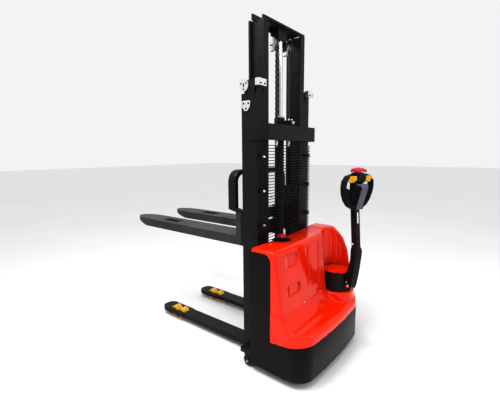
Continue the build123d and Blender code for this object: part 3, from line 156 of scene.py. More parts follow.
def powder_coat(name, colour, light, rough=(0.3, 0.46), grain=0.35):
    """Satin powder coat: fine orange peel, faint cloudy tone, dusty scuffs."""
    m, nt, bsdf = new_material(name)
    cloud = noise(nt, 6.0, 4.0)
    scuff = ramp(nt, noise(nt, 34.0, 8.0, 0.72, (1, 1, 0.25)), [(0.6, (0, 0, 0)), (0.78, (1, 1, 1))])
    tone = ramp(nt, cloud, [(0.3, colour), (0.75, light)])
    dusty = tuple(min(1, c * 2.6 + 0.01) for c in light)
    worn = mix_colour(nt, remap(nt, scuff, 0, 1, 0, 0.35), tone, dusty)
    nt.links.new(worn, bsdf.inputs["Base Color"])
    nt.links.new(remap(nt, noise(nt, 22.0, 5.0), 0.25, 0.75, *rough), bsdf.inputs["Roughness"])
    bsdf.inputs["Specular IOR Level"].default_value = 0.14
    first = bump(nt, bsdf, noise(nt, 900.0, 2.0), grain, 0.0006)
    bump(nt, bsdf, noise(nt, 9.0, 2.0), 0.12, 0.004, first)
    return m


def gloss_plastic(name, colour, deep, rough, coat):
    """Moulded plastic with a polished skin, a faint flow of tone and fine handling marks."""
    m, nt, bsdf = new_material(name)
    tone = ramp(nt, noise(nt, 3.2, 3.0), [(0.3, deep), (0.7, colour)])
    nt.links.new(tone, bsdf.inputs["Base Color"])
    smear = noise(nt, 16.0, 6.0, 0.65, (1, 1, 0.5))
    nt.links.new(remap(nt, smear, 0.3, 0.8, *rough), bsdf.inputs["Roughness"])
    bsdf.inputs["Specular IOR Level"].default_value = 0.16
    bsdf.inputs["Coat Weight"].default_value = coat
    bsdf.inputs["Coat Roughness"].default_value = 0.06
    first = bump(nt, bsdf, noise(nt, 420.0, 2.0), 0.1, 0.0004)
    bump(nt, bsdf, noise(nt, 5.0, 1.0), 0.05, 0.01, first)
    return m


def matte_plastic(name, colour, light, rough=(0.42, 0.6), grain=0.35, scale=1400.0):
    """Moulded plastic with an eroded texture."""
    m, nt, bsdf = new_material(name)
    tone = ramp(nt, noise(nt, 12.0, 4.0), [(0.3, colour), (0.72, light)])
    nt.links.new(tone, bsdf.inputs["Base Color"])
    nt.links.new(remap(nt, noise(nt, 40.0, 6.0), 0.3, 0.7, *rough), bsdf.inputs["Roughness"])
    bsdf.inputs["Specular IOR Level"].default_value = 0.13
    cells = nt.nodes.new("ShaderNodeTexVoronoi")
    cells.inputs["Scale"].default_value = scale
    coord = nt.nodes.new("ShaderNodeTexCoord")
    nt.links.new(coord.outputs["Object"], cells.inputs["Vector"])
    first = bump(nt, bsdf, cells.outputs["Distance"], grain, 0.0004)
    bump(nt, bsdf, noise(nt, 60.0, 3.0), 0.08, 0.001, first)
    return m


def metal(name, colour, rough, stretch=(1, 1, 1), scale=160.0, dirt=0.25):
    """Bare or plated metal with brushing along one axis and grey handling marks."""
    m, nt, bsdf = new_material(name)
    dark = tuple(c * 0.45 for c in colour)
    grime = ramp(nt, noise(nt, 24.0, 8.0, 0.7), [(0.5, (0, 0, 0)), (0.8, (1, 1, 1))])
    tone = mix_colour(nt, remap(nt, grime, 0, 1, 0, dirt), colour, dark)
    nt.links.new(tone, bsdf.inputs["Base Color"])
    bsdf.inputs["Metallic"].default_value = 1.0
    brush = noise(nt, scale, 4.0, 0.6, stretch)
    nt.links.new(remap(nt, brush, 0.25, 0.75, *rough), bsdf.inputs["Roughness"])
    bump(nt, bsdf, brush, 0.12, 0.0004)
    return m


def rubber(name, colour, light, rough=(0.6, 0.85)):
    """Solid rubber or polyurethane with a ground tread face and dust."""
    m, nt, bsdf = new_material(name)
    tone = ramp(nt, noise(nt, 18.0, 6.0, 0.6), [(0.35, colour), (0.8, light)])
    nt.links.new(tone, bsdf.inputs["Base Color"])
    nt.links.new(remap(nt, noise(nt, 60.0, 5.0), 0.3, 0.7, *rough), bsdf.inputs["Roughness"])
    bump(nt, bsdf, noise(nt, 320.0, 6.0, 0.7), 0.3, 0.0008)
    return m


MAT = {
    "black_steel": powder_coat("black_powder", (0.01, 0.0082, 0.008), (0.016, 0.0135, 0.013)),
    "fork_steel": powder_coat("fork_powder", (0.03, 0.029, 0.03), (0.05, 0.049, 0.051), rough=(0.34, 0.5)),
    "guard_wire": powder_coat("wire_coat", (0.006, 0.0055, 0.0055), (0.01, 0.009, 0.009),
                              rough=(0.25, 0.4), grain=0.15),
    "skirt_black": matte_plastic("skirt_black", (0.0055, 0.0038, 0.0036), (0.009, 0.0066, 0.0062),
                                 rough=(0.24, 0.32), grain=0.2, scale=900.0),
    "head_black": matte_plastic("head_black", (0.006, 0.006, 0.0065), (0.013, 0.013, 0.014),
                                rough=(0.36, 0.5)),
    "slate": matte_plastic("slate_plastic", (0.11, 0.105, 0.128), (0.15, 0.144, 0.172), rough=(0.38, 0.52)),
    "cover_red": gloss_plastic("cover_red", (0.8, 0.026, 0.0), (0.68, 0.016, 0.0), (0.08, 0.13), coat=0.35),
    "paddle_yellow": gloss_plastic("paddle_yellow", (0.85, 0.46, 0.01), (0.76, 0.37, 0.008),
                                   (0.2, 0.32), coat=0.3),
    "crimson": gloss_plastic("crimson_plastic", (0.52, 0.006, 0.05), (0.42, 0.004, 0.035),
                             (0.2, 0.32), coat=0.4),
    "zinc": metal("zinc_plate", (0.86, 0.87, 0.89), (0.16, 0.34)),
    "rod_chrome": metal("chrome_rod", (0.55, 0.55, 0.57), (0.08, 0.16),
                        stretch=(1, 1, 0.05), scale=90.0, dirt=0.08),
    "machined_steel": metal("machined_steel", (0.42, 0.42, 0.43), (0.28, 0.45), stretch=(1, 0.08, 1)),
    "chain_steel": metal("oiled_chain", (0.09, 0.085, 0.08), (0.3, 0.5), scale=220.0, dirt=0.5),
    "roller_yellow": rubber("roller_yellow", (0.68, 0.4, 0.03), (0.78, 0.5, 0.07), rough=(0.35, 0.5)),
    "tyre_rubber": rubber("tyre_rubber", (0.02, 0.019, 0.019), (0.045, 0.043, 0.042)),
    "battery_case": matte_plastic("battery_case", (0.03, 0.03, 0.034), (0.05, 0.05, 0.055)),
    "motor_housing": metal("cast_housing", (0.2, 0.2, 0.21), (0.45, 0.65), scale=300.0, dirt=0.4),
    "label_white": gloss_plastic("white_enamel", (0.82, 0.82, 0.83), (0.74, 0.74, 0.76),
                                 (0.25, 0.4), coat=0.2),
}
SLOT_OF = {r["node"]: r["material_slot"] for r in frame["record"]["subparts"]}


def paint(obj, slot):
    """Gives a made piece the material filed under slot."""
    obj.data.materials.clear()
    obj.data.materials.append(MAT[slot])
    return obj


# ---------------------------------------------------------------- CAD nodes keep their shape
# Edge bevels in millimetres, for the nodes whose edges show.
ROUND_EDGES = {
    "outer_mast_rails": 2.2, "inner_mast_rails": 2.2, "inner_mast_plates": 2.0, "mast_cross_plate": 1.6,
    "mast_foot_beam": 2.5, "carriage_frame": 2.0, "fork_left": 1.8, "fork_right": 1.8, "backrest": 3.0,
    "support_legs": 2.2, "side_panels": 2.0, "lower_skirt": 2.4, "chassis_base": 1.5,
    "guard_brackets": 1.5, "chain_anchor_bracket": 1.5, "rod_head": 1.5, "mast_adjusters": 0.9,
    "caster_fork_left": 0.8, "caster_fork_right": 0.8, "tiller_tube": 3.5, "cylinder_gland": 1.5,
    "motor_controller": 0.8, "hydraulic_tank": 3.0, "batteries": 2.5, "pump_motor": 1.5,
}


def keep_node(name):
    """Gives a CAD node its material, and breaks its edges with modifiers only."""
    obj = NODES[name]
    obj.data.materials.clear()
    obj.data.materials.append(MAT[SLOT_OF[name]])
    width = ROUND_EDGES.get(name, 0)
    if width:
        weld = obj.modifiers.new("weld", "WELD")
        weld.merge_threshold = 0.00001
        edge = obj.modifiers.new("edge", "BEVEL")
        edge.width = width * MM
        edge.segments = 2
        edge.limit_method = "ANGLE"
        edge.angle_limit = math.radians(40)
        edge.use_clamp_overlap = True


for node_name in sorted(NODES):
    keep_node(node_name)


# ---------------------------------------------------------------- mesh helpers
SHARP = math.radians(35.0)
CORNER_STEPS = 5
TUBE_SIDES = 8


def mesh_object(name, verts, faces, slot, body):
    """A mesh piece from points already in the row frame, creased where it turns sharply."""
    me = bpy.data.meshes.new(name)
    me.from_pydata([tuple(v) for v in verts], [], [tuple(f) for f in faces])
    me.validate()
    obj = bpy.data.objects.new(name, me)
    bpy.context.scene.collection.objects.link(obj)
    bm = bmesh.new()
    bm.from_mesh(me)
    bmesh.ops.remove_doubles(bm, verts=bm.verts, dist=1e-6)
    bmesh.ops.recalc_face_normals(bm, faces=bm.faces)
    for face in bm.faces:
        face.smooth = True
    for e in bm.edges:
        if len(e.link_faces) == 2 and e.calc_face_angle(0) > SHARP:
            e.smooth = False
    bm.to_mesh(me)
    bm.free()
    paint(obj, slot)
    if body:
        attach(obj, body)
    return obj


class Parts:
    """Collects the faces of many small shapes that become one piece."""

    def __init__(self):
        self.verts = []
        self.faces = []

    def add(self, verts, faces, place=None):
        base = len(self.verts)
        self.verts.extend(place(v) if place else Vector(v) for v in verts)
        self.faces.extend(tuple(i + base for i in f) for f in faces)

    def make(self, name, slot, body):
        return mesh_object(name, self.verts, self.faces, slot, body)


def lathe(profile, sides):
    """Revolves (radius, height) pairs about Z; radius 0 closes an end."""
    verts, rings = [], []
    for r, z in profile:
        if r <= 1e-9:
            rings.append([len(verts)])
            verts.append((0.0, 0.0, z))
        else:
            rings.append(list(range(len(verts), len(verts) + sides)))
            for i in range(sides):
                a = 2 * math.pi * i / sides
                verts.append((r * math.cos(a), r * math.sin(a), z))
    faces = []
    for lower, upper in zip(rings, rings[1:]):
        for i in range(sides):
            j = (i + 1) % sides
            if len(lower) == 1:
                faces.append((lower[0], upper[i], upper[j]))
            elif len(upper) == 1:
                faces.append((lower[i], lower[j], upper[0]))
            else:
                faces.append((lower[i], lower[j], upper[j], upper[i]))
    return verts, faces


def prism(outline, z0, z1, bevel):
    """A closed (x, y) outline, convex, from z0 to z1 with its rims broken by bevel."""
    n = len(outline)
    cx = sum(p[0] for p in outline) / n
    cy = sum(p[1] for p in outline) / n
    levels = [(z0, bevel), (z0 + bevel, 0), (z1 - bevel, 0), (z1, bevel)]
    verts = []
    for z, cut in levels:
        for x, y in outline:
            r = math.hypot(x - cx, y - cy)
            k = max(0.0, (r - cut) / r)
            verts.append((cx + (x - cx) * k, cy + (y - cy) * k, z))
    faces = [tuple(range(n - 1, -1, -1))]
    for level in range(len(levels) - 1):
        a, b = level * n, (level + 1) * n
        for i in range(n):
            j = (i + 1) % n
            faces.append((a + i, a + j, b + j, b + i))
    top = (len(levels) - 1) * n
    faces.append(tuple(range(top, top + n)))
    return verts, faces


def hexagon(across):
    """A hexagon outline by its width across the flats."""
    r = across / math.sqrt(3)
    return [(r * math.cos(math.radians(60 * i)), r * math.sin(math.radians(60 * i))) for i in range(6)]


def rounded_rect(w, h, r):
    """A rectangle outline with round corners, centred on the origin."""
    pts = []
    for cx, cy, a0 in ((w / 2 - r, h / 2 - r, 0), (-w / 2 + r, h / 2 - r, 90),
                       (-w / 2 + r, -h / 2 + r, 180), (w / 2 - r, -h / 2 + r, 270)):
        for i in range(CORNER_STEPS + 1):
            a = math.radians(a0 + 90 * i / CORNER_STEPS)
            pts.append((cx + r * math.cos(a), cy + r * math.sin(a)))
    return pts


def facing(origin, axis, up=(0, 0, 1), to_world=world):
    """A placing function: local Z along axis, local Y towards up, local origin at origin."""
    z = Vector(axis).normalized()
    y = Vector(up) - Vector(up).project(z)
    if y.length < 1e-6:
        y = Vector((1, 0, 0))
    y.normalize()
    x = y.cross(z)
    o = Vector(origin)
    return lambda v: to_world(o + x * v[0] + y * v[1] + z * v[2])


def hex_bolt(parts, origin, axis, across, height, washer=9.5, to_world=world):
    """A hexagon bolt head standing on a washer."""
    place = facing(origin, axis, (0, 0, 1), to_world)
    parts.add(*lathe([(0, -0.5), (washer, -0.5), (washer, 1.2), (washer - 0.6, 1.6), (0, 1.6)], 24), place)
    parts.add(*prism(hexagon(across), 1.4, 1.4 + height, 0.8), place)


def cap_screw(parts, origin, axis, radius, height, to_world=world):
    """A socket cap screw with its hexagon recess."""
    place = facing(origin, axis, (0, 0, 1), to_world)
    r = radius
    parts.add(*lathe([(0, -0.5), (r, -0.5), (r, height - 0.7), (r - 0.7, height), (r * 0.55, height),
                      (r * 0.5, height - 0.4), (r * 0.5, height - 2.4), (0, height - 2.8)], 20), place)


def tube(parts, path, radius):
    """A round bar along a list of points."""
    pts = [Vector(p) for p in path]
    verts, rings = [], []
    ref = Vector((0, 0, 1))
    for i, p in enumerate(pts):
        d = (pts[min(i + 1, len(pts) - 1)] - pts[max(i - 1, 0)]).normalized()
        u = ref - ref.project(d)
        if u.length < 0.2:
            u = Vector((1, 0, 0)) - Vector((1, 0, 0)).project(d)
        u.normalize()
        ref = u
        w = d.cross(u)
        rings.append(len(verts))
        for k in range(TUBE_SIDES):
            a = 2 * math.pi * k / TUBE_SIDES
            verts.append(p + (u * math.cos(a) + w * math.sin(a)) * radius)
    faces = []
    for a, b in zip(rings, rings[1:]):
        for k in range(TUBE_SIDES):
            j = (k + 1) % TUBE_SIDES
            faces.append((a + k, a + j, b + j, b + k))
    faces.append(tuple(range(TUBE_SIDES - 1, -1, -1)))
    faces.append(tuple(range(rings[-1], rings[-1] + TUBE_SIDES)))
    parts.add(verts, faces, world)


# ---------------------------------------------------------------- smooth moulded shapes
def round_and(a, b, r):
    """Both volumes at once, with an outside corner of radius r."""
    return np.minimum(-r, np.maximum(a, b)) + np.hypot(np.maximum(r + a, 0), np.maximum(r + b, 0))


def round_or(a, b, r):
    """Either volume, with an inside corner of radius r."""
    return np.maximum(r, np.minimum(a, b)) - np.hypot(np.maximum(r - a, 0), np.maximum(r - b, 0))


def ease(v, a, b):
    """0 at a, 1 at b, smooth between."""
    t = np.clip((v - a) / (b - a), 0, 1)
    return t * t * (3 - 2 * t)


def box2(u, v, hu, hv, r):
    """Distance to a rounded rectangle centred on the origin."""
    qu = np.abs(u) - hu + r
    qv = np.abs(v) - hv + r
    return np.minimum(np.maximum(qu, qv), 0) + np.hypot(np.maximum(qu, 0), np.maximum(qv, 0)) - r


def segment(u, v, p, q):
    """Distance to a line segment in a plane."""
    du, dv = q[0] - p[0], q[1] - p[1]
    t = np.clip(((u - p[0]) * du + (v - p[1]) * dv) / (du * du + dv * dv), 0, 1)
    return np.hypot(u - p[0] - t * du, v - p[1] - t * dv)


def polygon(u, v, pts):
    """Signed distance to a closed outline."""
    d = np.full(u.shape, 1e9)
    inside = np.zeros(u.shape, bool)
    for p, q in zip(pts, pts[1:] + pts[:1]):
        d = np.minimum(d, segment(u, v, p, q))
        if p[1] != q[1]:
            crosses = ((p[1] > v) != (q[1] > v)) & (u < (q[0] - p[0]) * (v - p[1]) / (q[1] - p[1]) + p[0])
            inside ^= crosses
    return np.where(inside, -d, d)


def smooth_closed(pts, rounds):
    """Chaikin's corner cutting on a closed outline."""
    for _ in range(rounds):
        nxt = []
        for p, q in zip(pts, pts[1:] + pts[:1]):
            nxt.append((0.75 * p[0] + 0.25 * q[0], 0.75 * p[1] + 0.25 * q[1]))
            nxt.append((0.25 * p[0] + 0.75 * q[0], 0.25 * p[1] + 0.75 * q[1]))
        pts = nxt
    return pts


def moulded(name, f, lo, hi, step, slot, body, to_world=world):
    """Meshes the surface f = 0 with one vertex for each cell that it crosses."""
    axes = [np.arange(lo[i], hi[i] + step, step) for i in range(3)]
    grid = np.meshgrid(*axes, indexing="ij")
    d = f(*grid)
    solid = d < 0
    shape = [n - 1 for n in d.shape]
    corners = [(i, j, k) for i in (0, 1) for j in (0, 1) for k in (0, 1)]
    count = sum(solid[i:i + shape[0], j:j + shape[1], k:k + shape[2]].astype(np.int8)
                for i, j, k in corners)
    cells = np.argwhere((count > 0) & (count < 8))
    index = np.full(shape, -1, np.int64)
    index[tuple(cells.T)] = np.arange(len(cells))
    total = np.zeros((len(cells), 3))
    hits = np.zeros(len(cells))
    for a in corners:
        for axis in range(3):
            if a[axis]:
                continue
            b = list(a)
            b[axis] = 1
            da = d[tuple((cells + a).T)]
            db = d[tuple((cells + b).T)]
            cross = (da < 0) != (db < 0)
            t = np.where(cross, da / np.where(cross, da - db, 1), 0)
            p = np.array(a, float)[None] + np.zeros((len(cells), 3))
            p[:, axis] += t
            total += p * cross[:, None]
            hits += cross
    pts = (cells + total / hits[:, None]) * step + np.array([a[0] for a in axes])
    eps = 0.35

    def slope(q):
        """The field's gradient by central differences."""
        g = []
        for axis in range(3):
            e = np.zeros(3)
            e[axis] = eps
            g.append((f(*(q + e).T) - f(*(q - e).T)) / (2 * eps))
        return np.stack(g, 1)

    for _ in range(3):
        g = slope(pts)
        move = f(*pts.T)[:, None] * g / np.maximum((g * g).sum(1), 0.2)[:, None]
        size = np.linalg.norm(move, axis=1)[:, None]
        pts = pts - move * np.minimum(1, 0.5 * step / np.maximum(size, 1e-9))
    faces = []
    for axis in range(3):
        u, v = (axis + 1) % 3, (axis + 2) % 3
        near = [slice(None)] * 3
        far = [slice(None)] * 3
        near[axis], far[axis] = slice(0, -1), slice(1, None)
        change = solid[tuple(near)] != solid[tuple(far)]
        edge = np.argwhere(change)
        keep = np.ones(len(edge), bool)
        for side in (u, v):
            keep &= (edge[:, side] > 0) & (edge[:, side] < d.shape[side] - 1)
        edge = edge[keep]
        ring = []
        for du, dv in ((0, 0), (-1, 0), (-1, -1), (0, -1)):
            c = edge.copy()
            c[:, u] += du
            c[:, v] += dv
            ring.append(index[tuple(c.T)])
        quad = np.stack(ring, 1)
        flip = ~solid[tuple(edge.T)]
        quad[flip] = quad[flip][:, ::-1]
        faces.append(quad)
    faces = np.concatenate(faces)
    a, b, c = (pts[faces[:, i]] for i in range(3))
    outward = (np.cross(b - a, c - a) * slope(pts)[faces[:, 0]]).sum(1)
    if np.median(outward) < 0:
        faces = faces[:, ::-1]
    me = bpy.data.meshes.new(name)
    me.from_pydata([tuple(to_world(p)) for p in pts], [], faces.tolist())
    me.validate()
    me.shade_smooth()
    obj = bpy.data.objects.new(name, me)
    bpy.context.scene.collection.objects.link(obj)
    paint(obj, slot)
    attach(obj, body)
    return obj


# ---------------------------------------------------------------- moulded cover
COVER_HALF = 398.0
COVER_REAR = -378.0
COVER_BOW = 24.0
COVER_CORNER = 110.0
COVER_TOP = 765.0
HUMP = 14.0
HUMP_SPAN = (-120, -330)
BACK_TOP_X = -192
BACK_RISE, BACK_RUN, BACK_SLANT = 355, 48, 358.2
SEAT = 303.0
SEAT_HALF = 380
SEAT_RIM, SEAT_DISH, SEAT_LIP = 4, 9, 10
SEAT_SWEEP = 112
# The wing's rear edge, as (height, x).
WING_EDGE = ((100, -420), (303, -392), (345, -340), (380, -318), (430, -312), (520, -304), (613, -286),
             (699, -250), (740, -218), (765, -184), (790, -120))
WING_SLANT = 0.86
WING_INNER = 265
NICHE_R = 116.0
NICHE_FLOOR = 380.0
NICHE_LIP = 3.5
PEDESTAL_WALL = 4
FLUTES = (-66.0, -40.0, -8.0, 22.0)
FLUTE_WIDTH, FLUTE_DEPTH = 4.0, 4.5
SHELL = 9.0
LEDGE_Z = 403.0
LEDGE_DEPTH = 2.4
STOP = (-68.0, 137.0)
STOP_BORE = 16
STOP_RIM_R, STOP_RIM_WIDTH, STOP_RIM_HEIGHT = 53, 4.0, 3.0
STEER_BORE = 72
FRONT_X = -27.5
SEAM_REAR = 247.0
SEAM_SLOPE = -21.0 / 244.0
SEAM_X = -404
SEAM_GAP = 1.6
PANEL = (-161.5, 743.5, 46.0)
PANEL_REACH = (400, 800)
PANEL_INNER = 380
D_POCKETS = ((242.0, 684.0, 88.0, 40.0), (248.0, 515.0, 84.0, 34.0))
POCKET_DEPTH = 12.0
GROOVES = (((38.0, 722.0), (76.0, 494.0)), ((-100.0, 714.0), (-52.0, 468.0)))
GROOVE_DEPTH = 10.0
COVER_STEP = 4.0


def from_steering(x, y):
    """Distance from the steering axis."""
    return np.hypot(x - STEER[0], y - STEER[1])


def cover_plan(x, y):
    """Distance outside the plan: straight sides, round rear corners and a bowed rear."""
    straight = x + COVER_BOW * (1 - (y / COVER_HALF) ** 2)
    u = COVER_REAR - straight + COVER_CORNER
    v = np.abs(y) - COVER_HALF + COVER_CORNER
    return np.minimum(np.maximum(u, v), 0) + np.hypot(np.maximum(u, 0), np.maximum(v, 0)) - COVER_CORNER


def cover_top(y, z):
    """Height over the top face, which swells towards the wing."""
    return z - (COVER_TOP + HUMP * ease(y, *HUMP_SPAN))


def wing_rear(x, z):
    """Distance behind the wing's rear edge."""
    edge = np.interp(z, [p[0] for p in WING_EDGE], [p[1] for p in WING_EDGE])
    return (edge - x) * WING_SLANT


def back_and_seat(x, y, z):
    """The upright block that sweeps down into the dished seat."""
    upright = ((x - BACK_TOP_X) * -BACK_RISE + (z - COVER_TOP) * BACK_RUN) / BACK_SLANT
    block_up = round_and(cover_top(y, z), upright, 30)
    dish = SEAT_DISH * (1 - (y / SEAT_HALF) ** 2)
    seat = z - (SEAT + SEAT_RIM - dish + SEAT_LIP * ease(x, -330, -400))
    return round_or(block_up, seat, SEAT_SWEEP)


def alcove(x, y, z):
    """The room round the steering drum, with its flutes and its lip."""
    reach = from_steering(x, y)
    angle = np.degrees(np.arctan2(y - STEER[1], x - STEER[0]))
    flutes = sum(np.exp(-((angle - a) / FLUTE_WIDTH) ** 2) for a in FLUTES)
    lip = ease(np.maximum(wing_rear(x, z), cover_top(y, z)), -24, -17)
    fluted = FLUTE_DEPTH * flutes * ease(z, 400, 440) * ease(z, 745, 700)
    bore = reach - NICHE_R - fluted + NICHE_LIP * lip
    slot = np.maximum(np.abs(y - STEER[1]) - NICHE_R, x - STEER[0])
    return np.maximum(np.minimum(bore, slot), NICHE_FLOOR - z)


def cover_solid(x, y, z):
    """The cover's outside, as if it were solid."""
    wing = round_and(wing_rear(x, z), cover_top(y, z), 14)
    wing = round_and(wing, y + WING_INNER, 6)
    body = round_or(back_and_seat(x, y, z), wing, 10)
    pedestal = round_and(from_steering(x, y) - NICHE_R - PEDESTAL_WALL, z - NICHE_FLOOR, 7)
    body = round_or(body, pedestal, 16)
    corner = 14 + 22 * ease(x, -335, -392) * ease(z, 420, 360) + 10 * ease(z, 700, 750)
    body = round_and(body, cover_plan(x, y), corner)
    return round_and(body, -alcove(x, y, z), 9)


def pressed_marks(y, z):
    """Depth of the D pockets and the grooves in the upright face."""
    depth = 0
    for yc, zc, hy, hz in D_POCKETS:
        d = box2(y - yc, z - zc, hy, hz, hz - 2)
        fade = ease(y, yc + 0.98 * hy, yc + 0.1 * hy)
        depth = depth + POCKET_DEPTH * ease(d, 1.0, -6.5) * fade
    for p, q in GROOVES:
        depth = depth + GROOVE_DEPTH * ease(segment(y, z, p, q), 8.5, 3.0)
    return depth * ease(z, 430, 445) * ease(z, 750, 735) * ease(y, -150, -140)


def cover_shape(x, y, z):
    """The moulded shell, with its pockets, grooves, ledge, stop rim and cut edges."""
    reach = from_steering(x, y)
    rim = np.hypot(x - STOP[0], y - STOP[1])
    f = cover_solid(x, y, z) + pressed_marks(y, z)
    f = f - LEDGE_DEPTH * ease(z, LEDGE_Z + 2.5, LEDGE_Z - 2.5) * ease(reach, 121, 130)
    f = f - STOP_RIM_HEIGHT * np.exp(-((rim - STOP_RIM_R) / STOP_RIM_WIDTH) ** 2) * ease(z, 740, 755)
    f = np.maximum(f, -(f + SHELL))
    along, upward = PANEL_REACH
    panel = box2(x - (PANEL[0] + along), z - (PANEL[1] - upward), along, upward, PANEL[2])
    f = round_and(f, -np.maximum(panel, PANEL_INNER - np.abs(y)), 2.5)
    seam = SEAM_REAR + (x - SEAM_X) * SEAM_SLOPE + SEAM_GAP
    f = np.maximum(f, seam - z)
    f = np.maximum(f, x - FRONT_X)
    f = np.maximum(f, STOP_BORE - rim)
    return np.maximum(f, STEER_BORE - reach)


cover = moulded("cover_shell", cover_shape, (-410, -404, 186), (-22, 404, 792), COVER_STEP,
                "cover_red", "root")
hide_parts("top_cover")


# ---------------------------------------------------------------- tiller head, sculpted
# Side outlines are (behind, up) in the tiller's own plane, front outlines are (aside, up).
LOOP_PATH = [(26, 1150), (62, 1161), (98, 1153), (119, 1128), (124, 1094), (117, 1050), (98, 1008),
             (70, 976), (30, 958)]
LOOP_HALF_WIDTH, LOOP_HALF_DEPTH = 12.5, 23.0
NECK_SIDE = [(121, 948), (166, 948), (168, 1112), (187, 1126), (187, 1160), (176, 1168), (130, 1168),
             (122, 1150)]
CHEEK_SIDE = [(150, 948), (172, 947), (217, 1090), (205, 1100), (150, 1100)]
WEB_FRONT = [(20, 1104), (48, 1066), (118, 1096), (106, 1010), (66, 962), (20, 952)]
WEDGE_SIDE = [(160, 947), (173, 947), (219, 1090), (211, 1112), (160, 1112)]
THROTTLE_B, THROTTLE_Z = 176, 1142
CAP_B, CAP_Z = 156, 1110
CAP_OUTER, CAP_INNER = 104, 88
HEAD_STEP = 2.4


def head_loop(b, y, z):
    """The oval grip and the web that fills its lower corners."""
    w = np.abs(y)
    line = np.full(b.shape, 1e9)
    for p, q in zip(LOOP_PATH, LOOP_PATH[1:]):
        line = np.minimum(line, segment(w, z, p, q))
    lean = b - (147 + 9 * ease(z, 960, 1150))
    bar = (np.sqrt((line / LOOP_HALF_WIDTH) ** 2 + (lean / LOOP_HALF_DEPTH) ** 2) - 1) * LOOP_HALF_WIDTH
    return bar, round_and(polygon(w, z, WEB_FRONT), np.abs(lean) - 5, 3)


def head_shape(b, y, z):
    """Neck, cheeks, grip and brow, with room for the paddles' axle and the horn button."""
    w = np.abs(y)
    body = round_and(polygon(b, z, NECK_SIDE), w - 38 + 6 * ease(z, 1010, 950), 7)
    cheek = round_and(polygon(b, z, CHEEK_SIDE), np.abs(w - 29.5) - 3.2, 1.6)
    body = round_or(body, cheek, 4)
    brow = np.maximum(np.hypot(b - 154, z - 1128) - 58, 1150 - z)
    brow = round_and(np.maximum(brow, box2(b - 152, y, 31, 33, 12)), z - 1186 + 9 * (w / 36) ** 2, 5)
    bar, web = head_loop(b, y, z)
    shape = round_or(round_or(round_or(body, bar, 12), web, 5), brow, 6)
    axle_room = np.maximum(np.hypot(b - THROTTLE_B, z - THROTTLE_Z) - 8.5, 36 - w)
    shape = np.maximum(shape, -axle_room)
    button_room = np.maximum(np.abs(b - 125) - 14, np.maximum(np.abs(z - 1088) - 23, np.abs(y) - 31))
    return np.maximum(shape, -button_room)


head = moulded("head_shell", head_shape, (98, -142, 940), (224, 142, 1194), HEAD_STEP,
               "head_black", "tiller", tiller_world)
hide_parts("tiller_head")


def wedge_shape(b, y, z):
    """The sloping front panel, with a shallow line round its middle."""
    f = round_and(polygon(b, z, WEDGE_SIDE), np.abs(y) - 28, 4)
    return f + 1.6 * ease(np.abs(box2(y, z - 1022, 19, 62, 6)), 2.2, 0.6) * ease(b, 168, 176)


wedge = moulded("wedge_shell", wedge_shape, (154, -36, 940), (226, 36, 1120), HEAD_STEP,
                "slate", "tiller", tiller_world)
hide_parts("head_wedge")


def paddle_shape(b, y, z):
    """A hub, a curved blade and a thumb lobe on each side, on one pin."""
    w = np.abs(y)
    db, dz = b - THROTTLE_B, z - THROTTLE_Z
    hub = round_and(np.hypot(db, dz) - 11.5, np.abs(w - 48) - 7, 3)
    pin = np.maximum(np.hypot(db, dz) - 6, w - 50)
    c, s = math.cos(math.radians(24)), math.sin(math.radians(24))
    u, v = db * c - dz * s, db * s + dz * c
    blade = box2(u - 1.5 * (v / 20) ** 2, v, 5.0, 22, 4.5)
    blade = round_and(blade, np.abs(w - 70) - 27, 4)
    lobe = np.sqrt(((db + 4) / 12) ** 2 + ((dz - 2) / 15) ** 2 + ((w - 60) / 14) ** 2)
    lobe = (lobe - 1) * 12
    return np.minimum(round_or(round_or(hub, blade, 6), lobe, 5), pin)


paddles = moulded("paddle_shells", paddle_shape, (144, -104, 1112), (208, 104, 1172), HEAD_STEP,
                  "paddle_yellow", "throttle", tiller_world)
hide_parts("throttle_paddles")


def cap_shape(b, y, z):
    """An arched skin on a foot and a stem."""
    z = z + 13 * (y / 40) ** 2
    r = np.hypot(b - CAP_B, z - CAP_Z)
    arc = np.maximum(r - CAP_OUTER, CAP_INNER - r)
    span = box2(b - 160, y, 36, 40, 12)
    skin = round_and(arc, span, 4)
    foot = round_and(np.maximum(1194 - z, r - 95), box2(b - 158, y, 27, 34, 8), 3)
    stem = np.maximum(np.hypot(b - 154, y) - 6, np.maximum(1155 - z, z - 1200))
    return np.minimum(round_or(skin, foot, 4), stem)


cap = moulded("cap_shell", cap_shape, (112, -46, 1140), (206, 46, 1220), HEAD_STEP,
              "crimson", "reverse_button", tiller_world)
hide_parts("reverse_button")


# ---------------------------------------------------------------- leaf chains
PITCH = 15.9
LINK_OFFSETS = (-8.4, -5.0, -1.7, 1.7, 5.0, 8.4)
CHAIN_Y = 71.0
SHEAVE = (57.0, 1971.0)
WRAP_R = 38.0
PIN_LENGTH = 21.2
PIN_PROFILE = [(0, 0), (2.4, 0), (2.8, 0.6), (2.8, 20.6), (2.4, PIN_LENGTH), (0, PIN_LENGTH)]
LINK_R = 5.4
LINK_HALF = 1.5


def stadium(length, r):
    """A link plate's outline: two half circles and the straights between."""
    pts = []
    for cy, a0 in ((length / 2, 0), (-length / 2, 180)):
        for i in range(CORNER_STEPS + 1):
            a = math.radians(a0 + 180 * i / CORNER_STEPS)
            pts.append((r * math.cos(a), cy + r * math.sin(a)))
    return pts


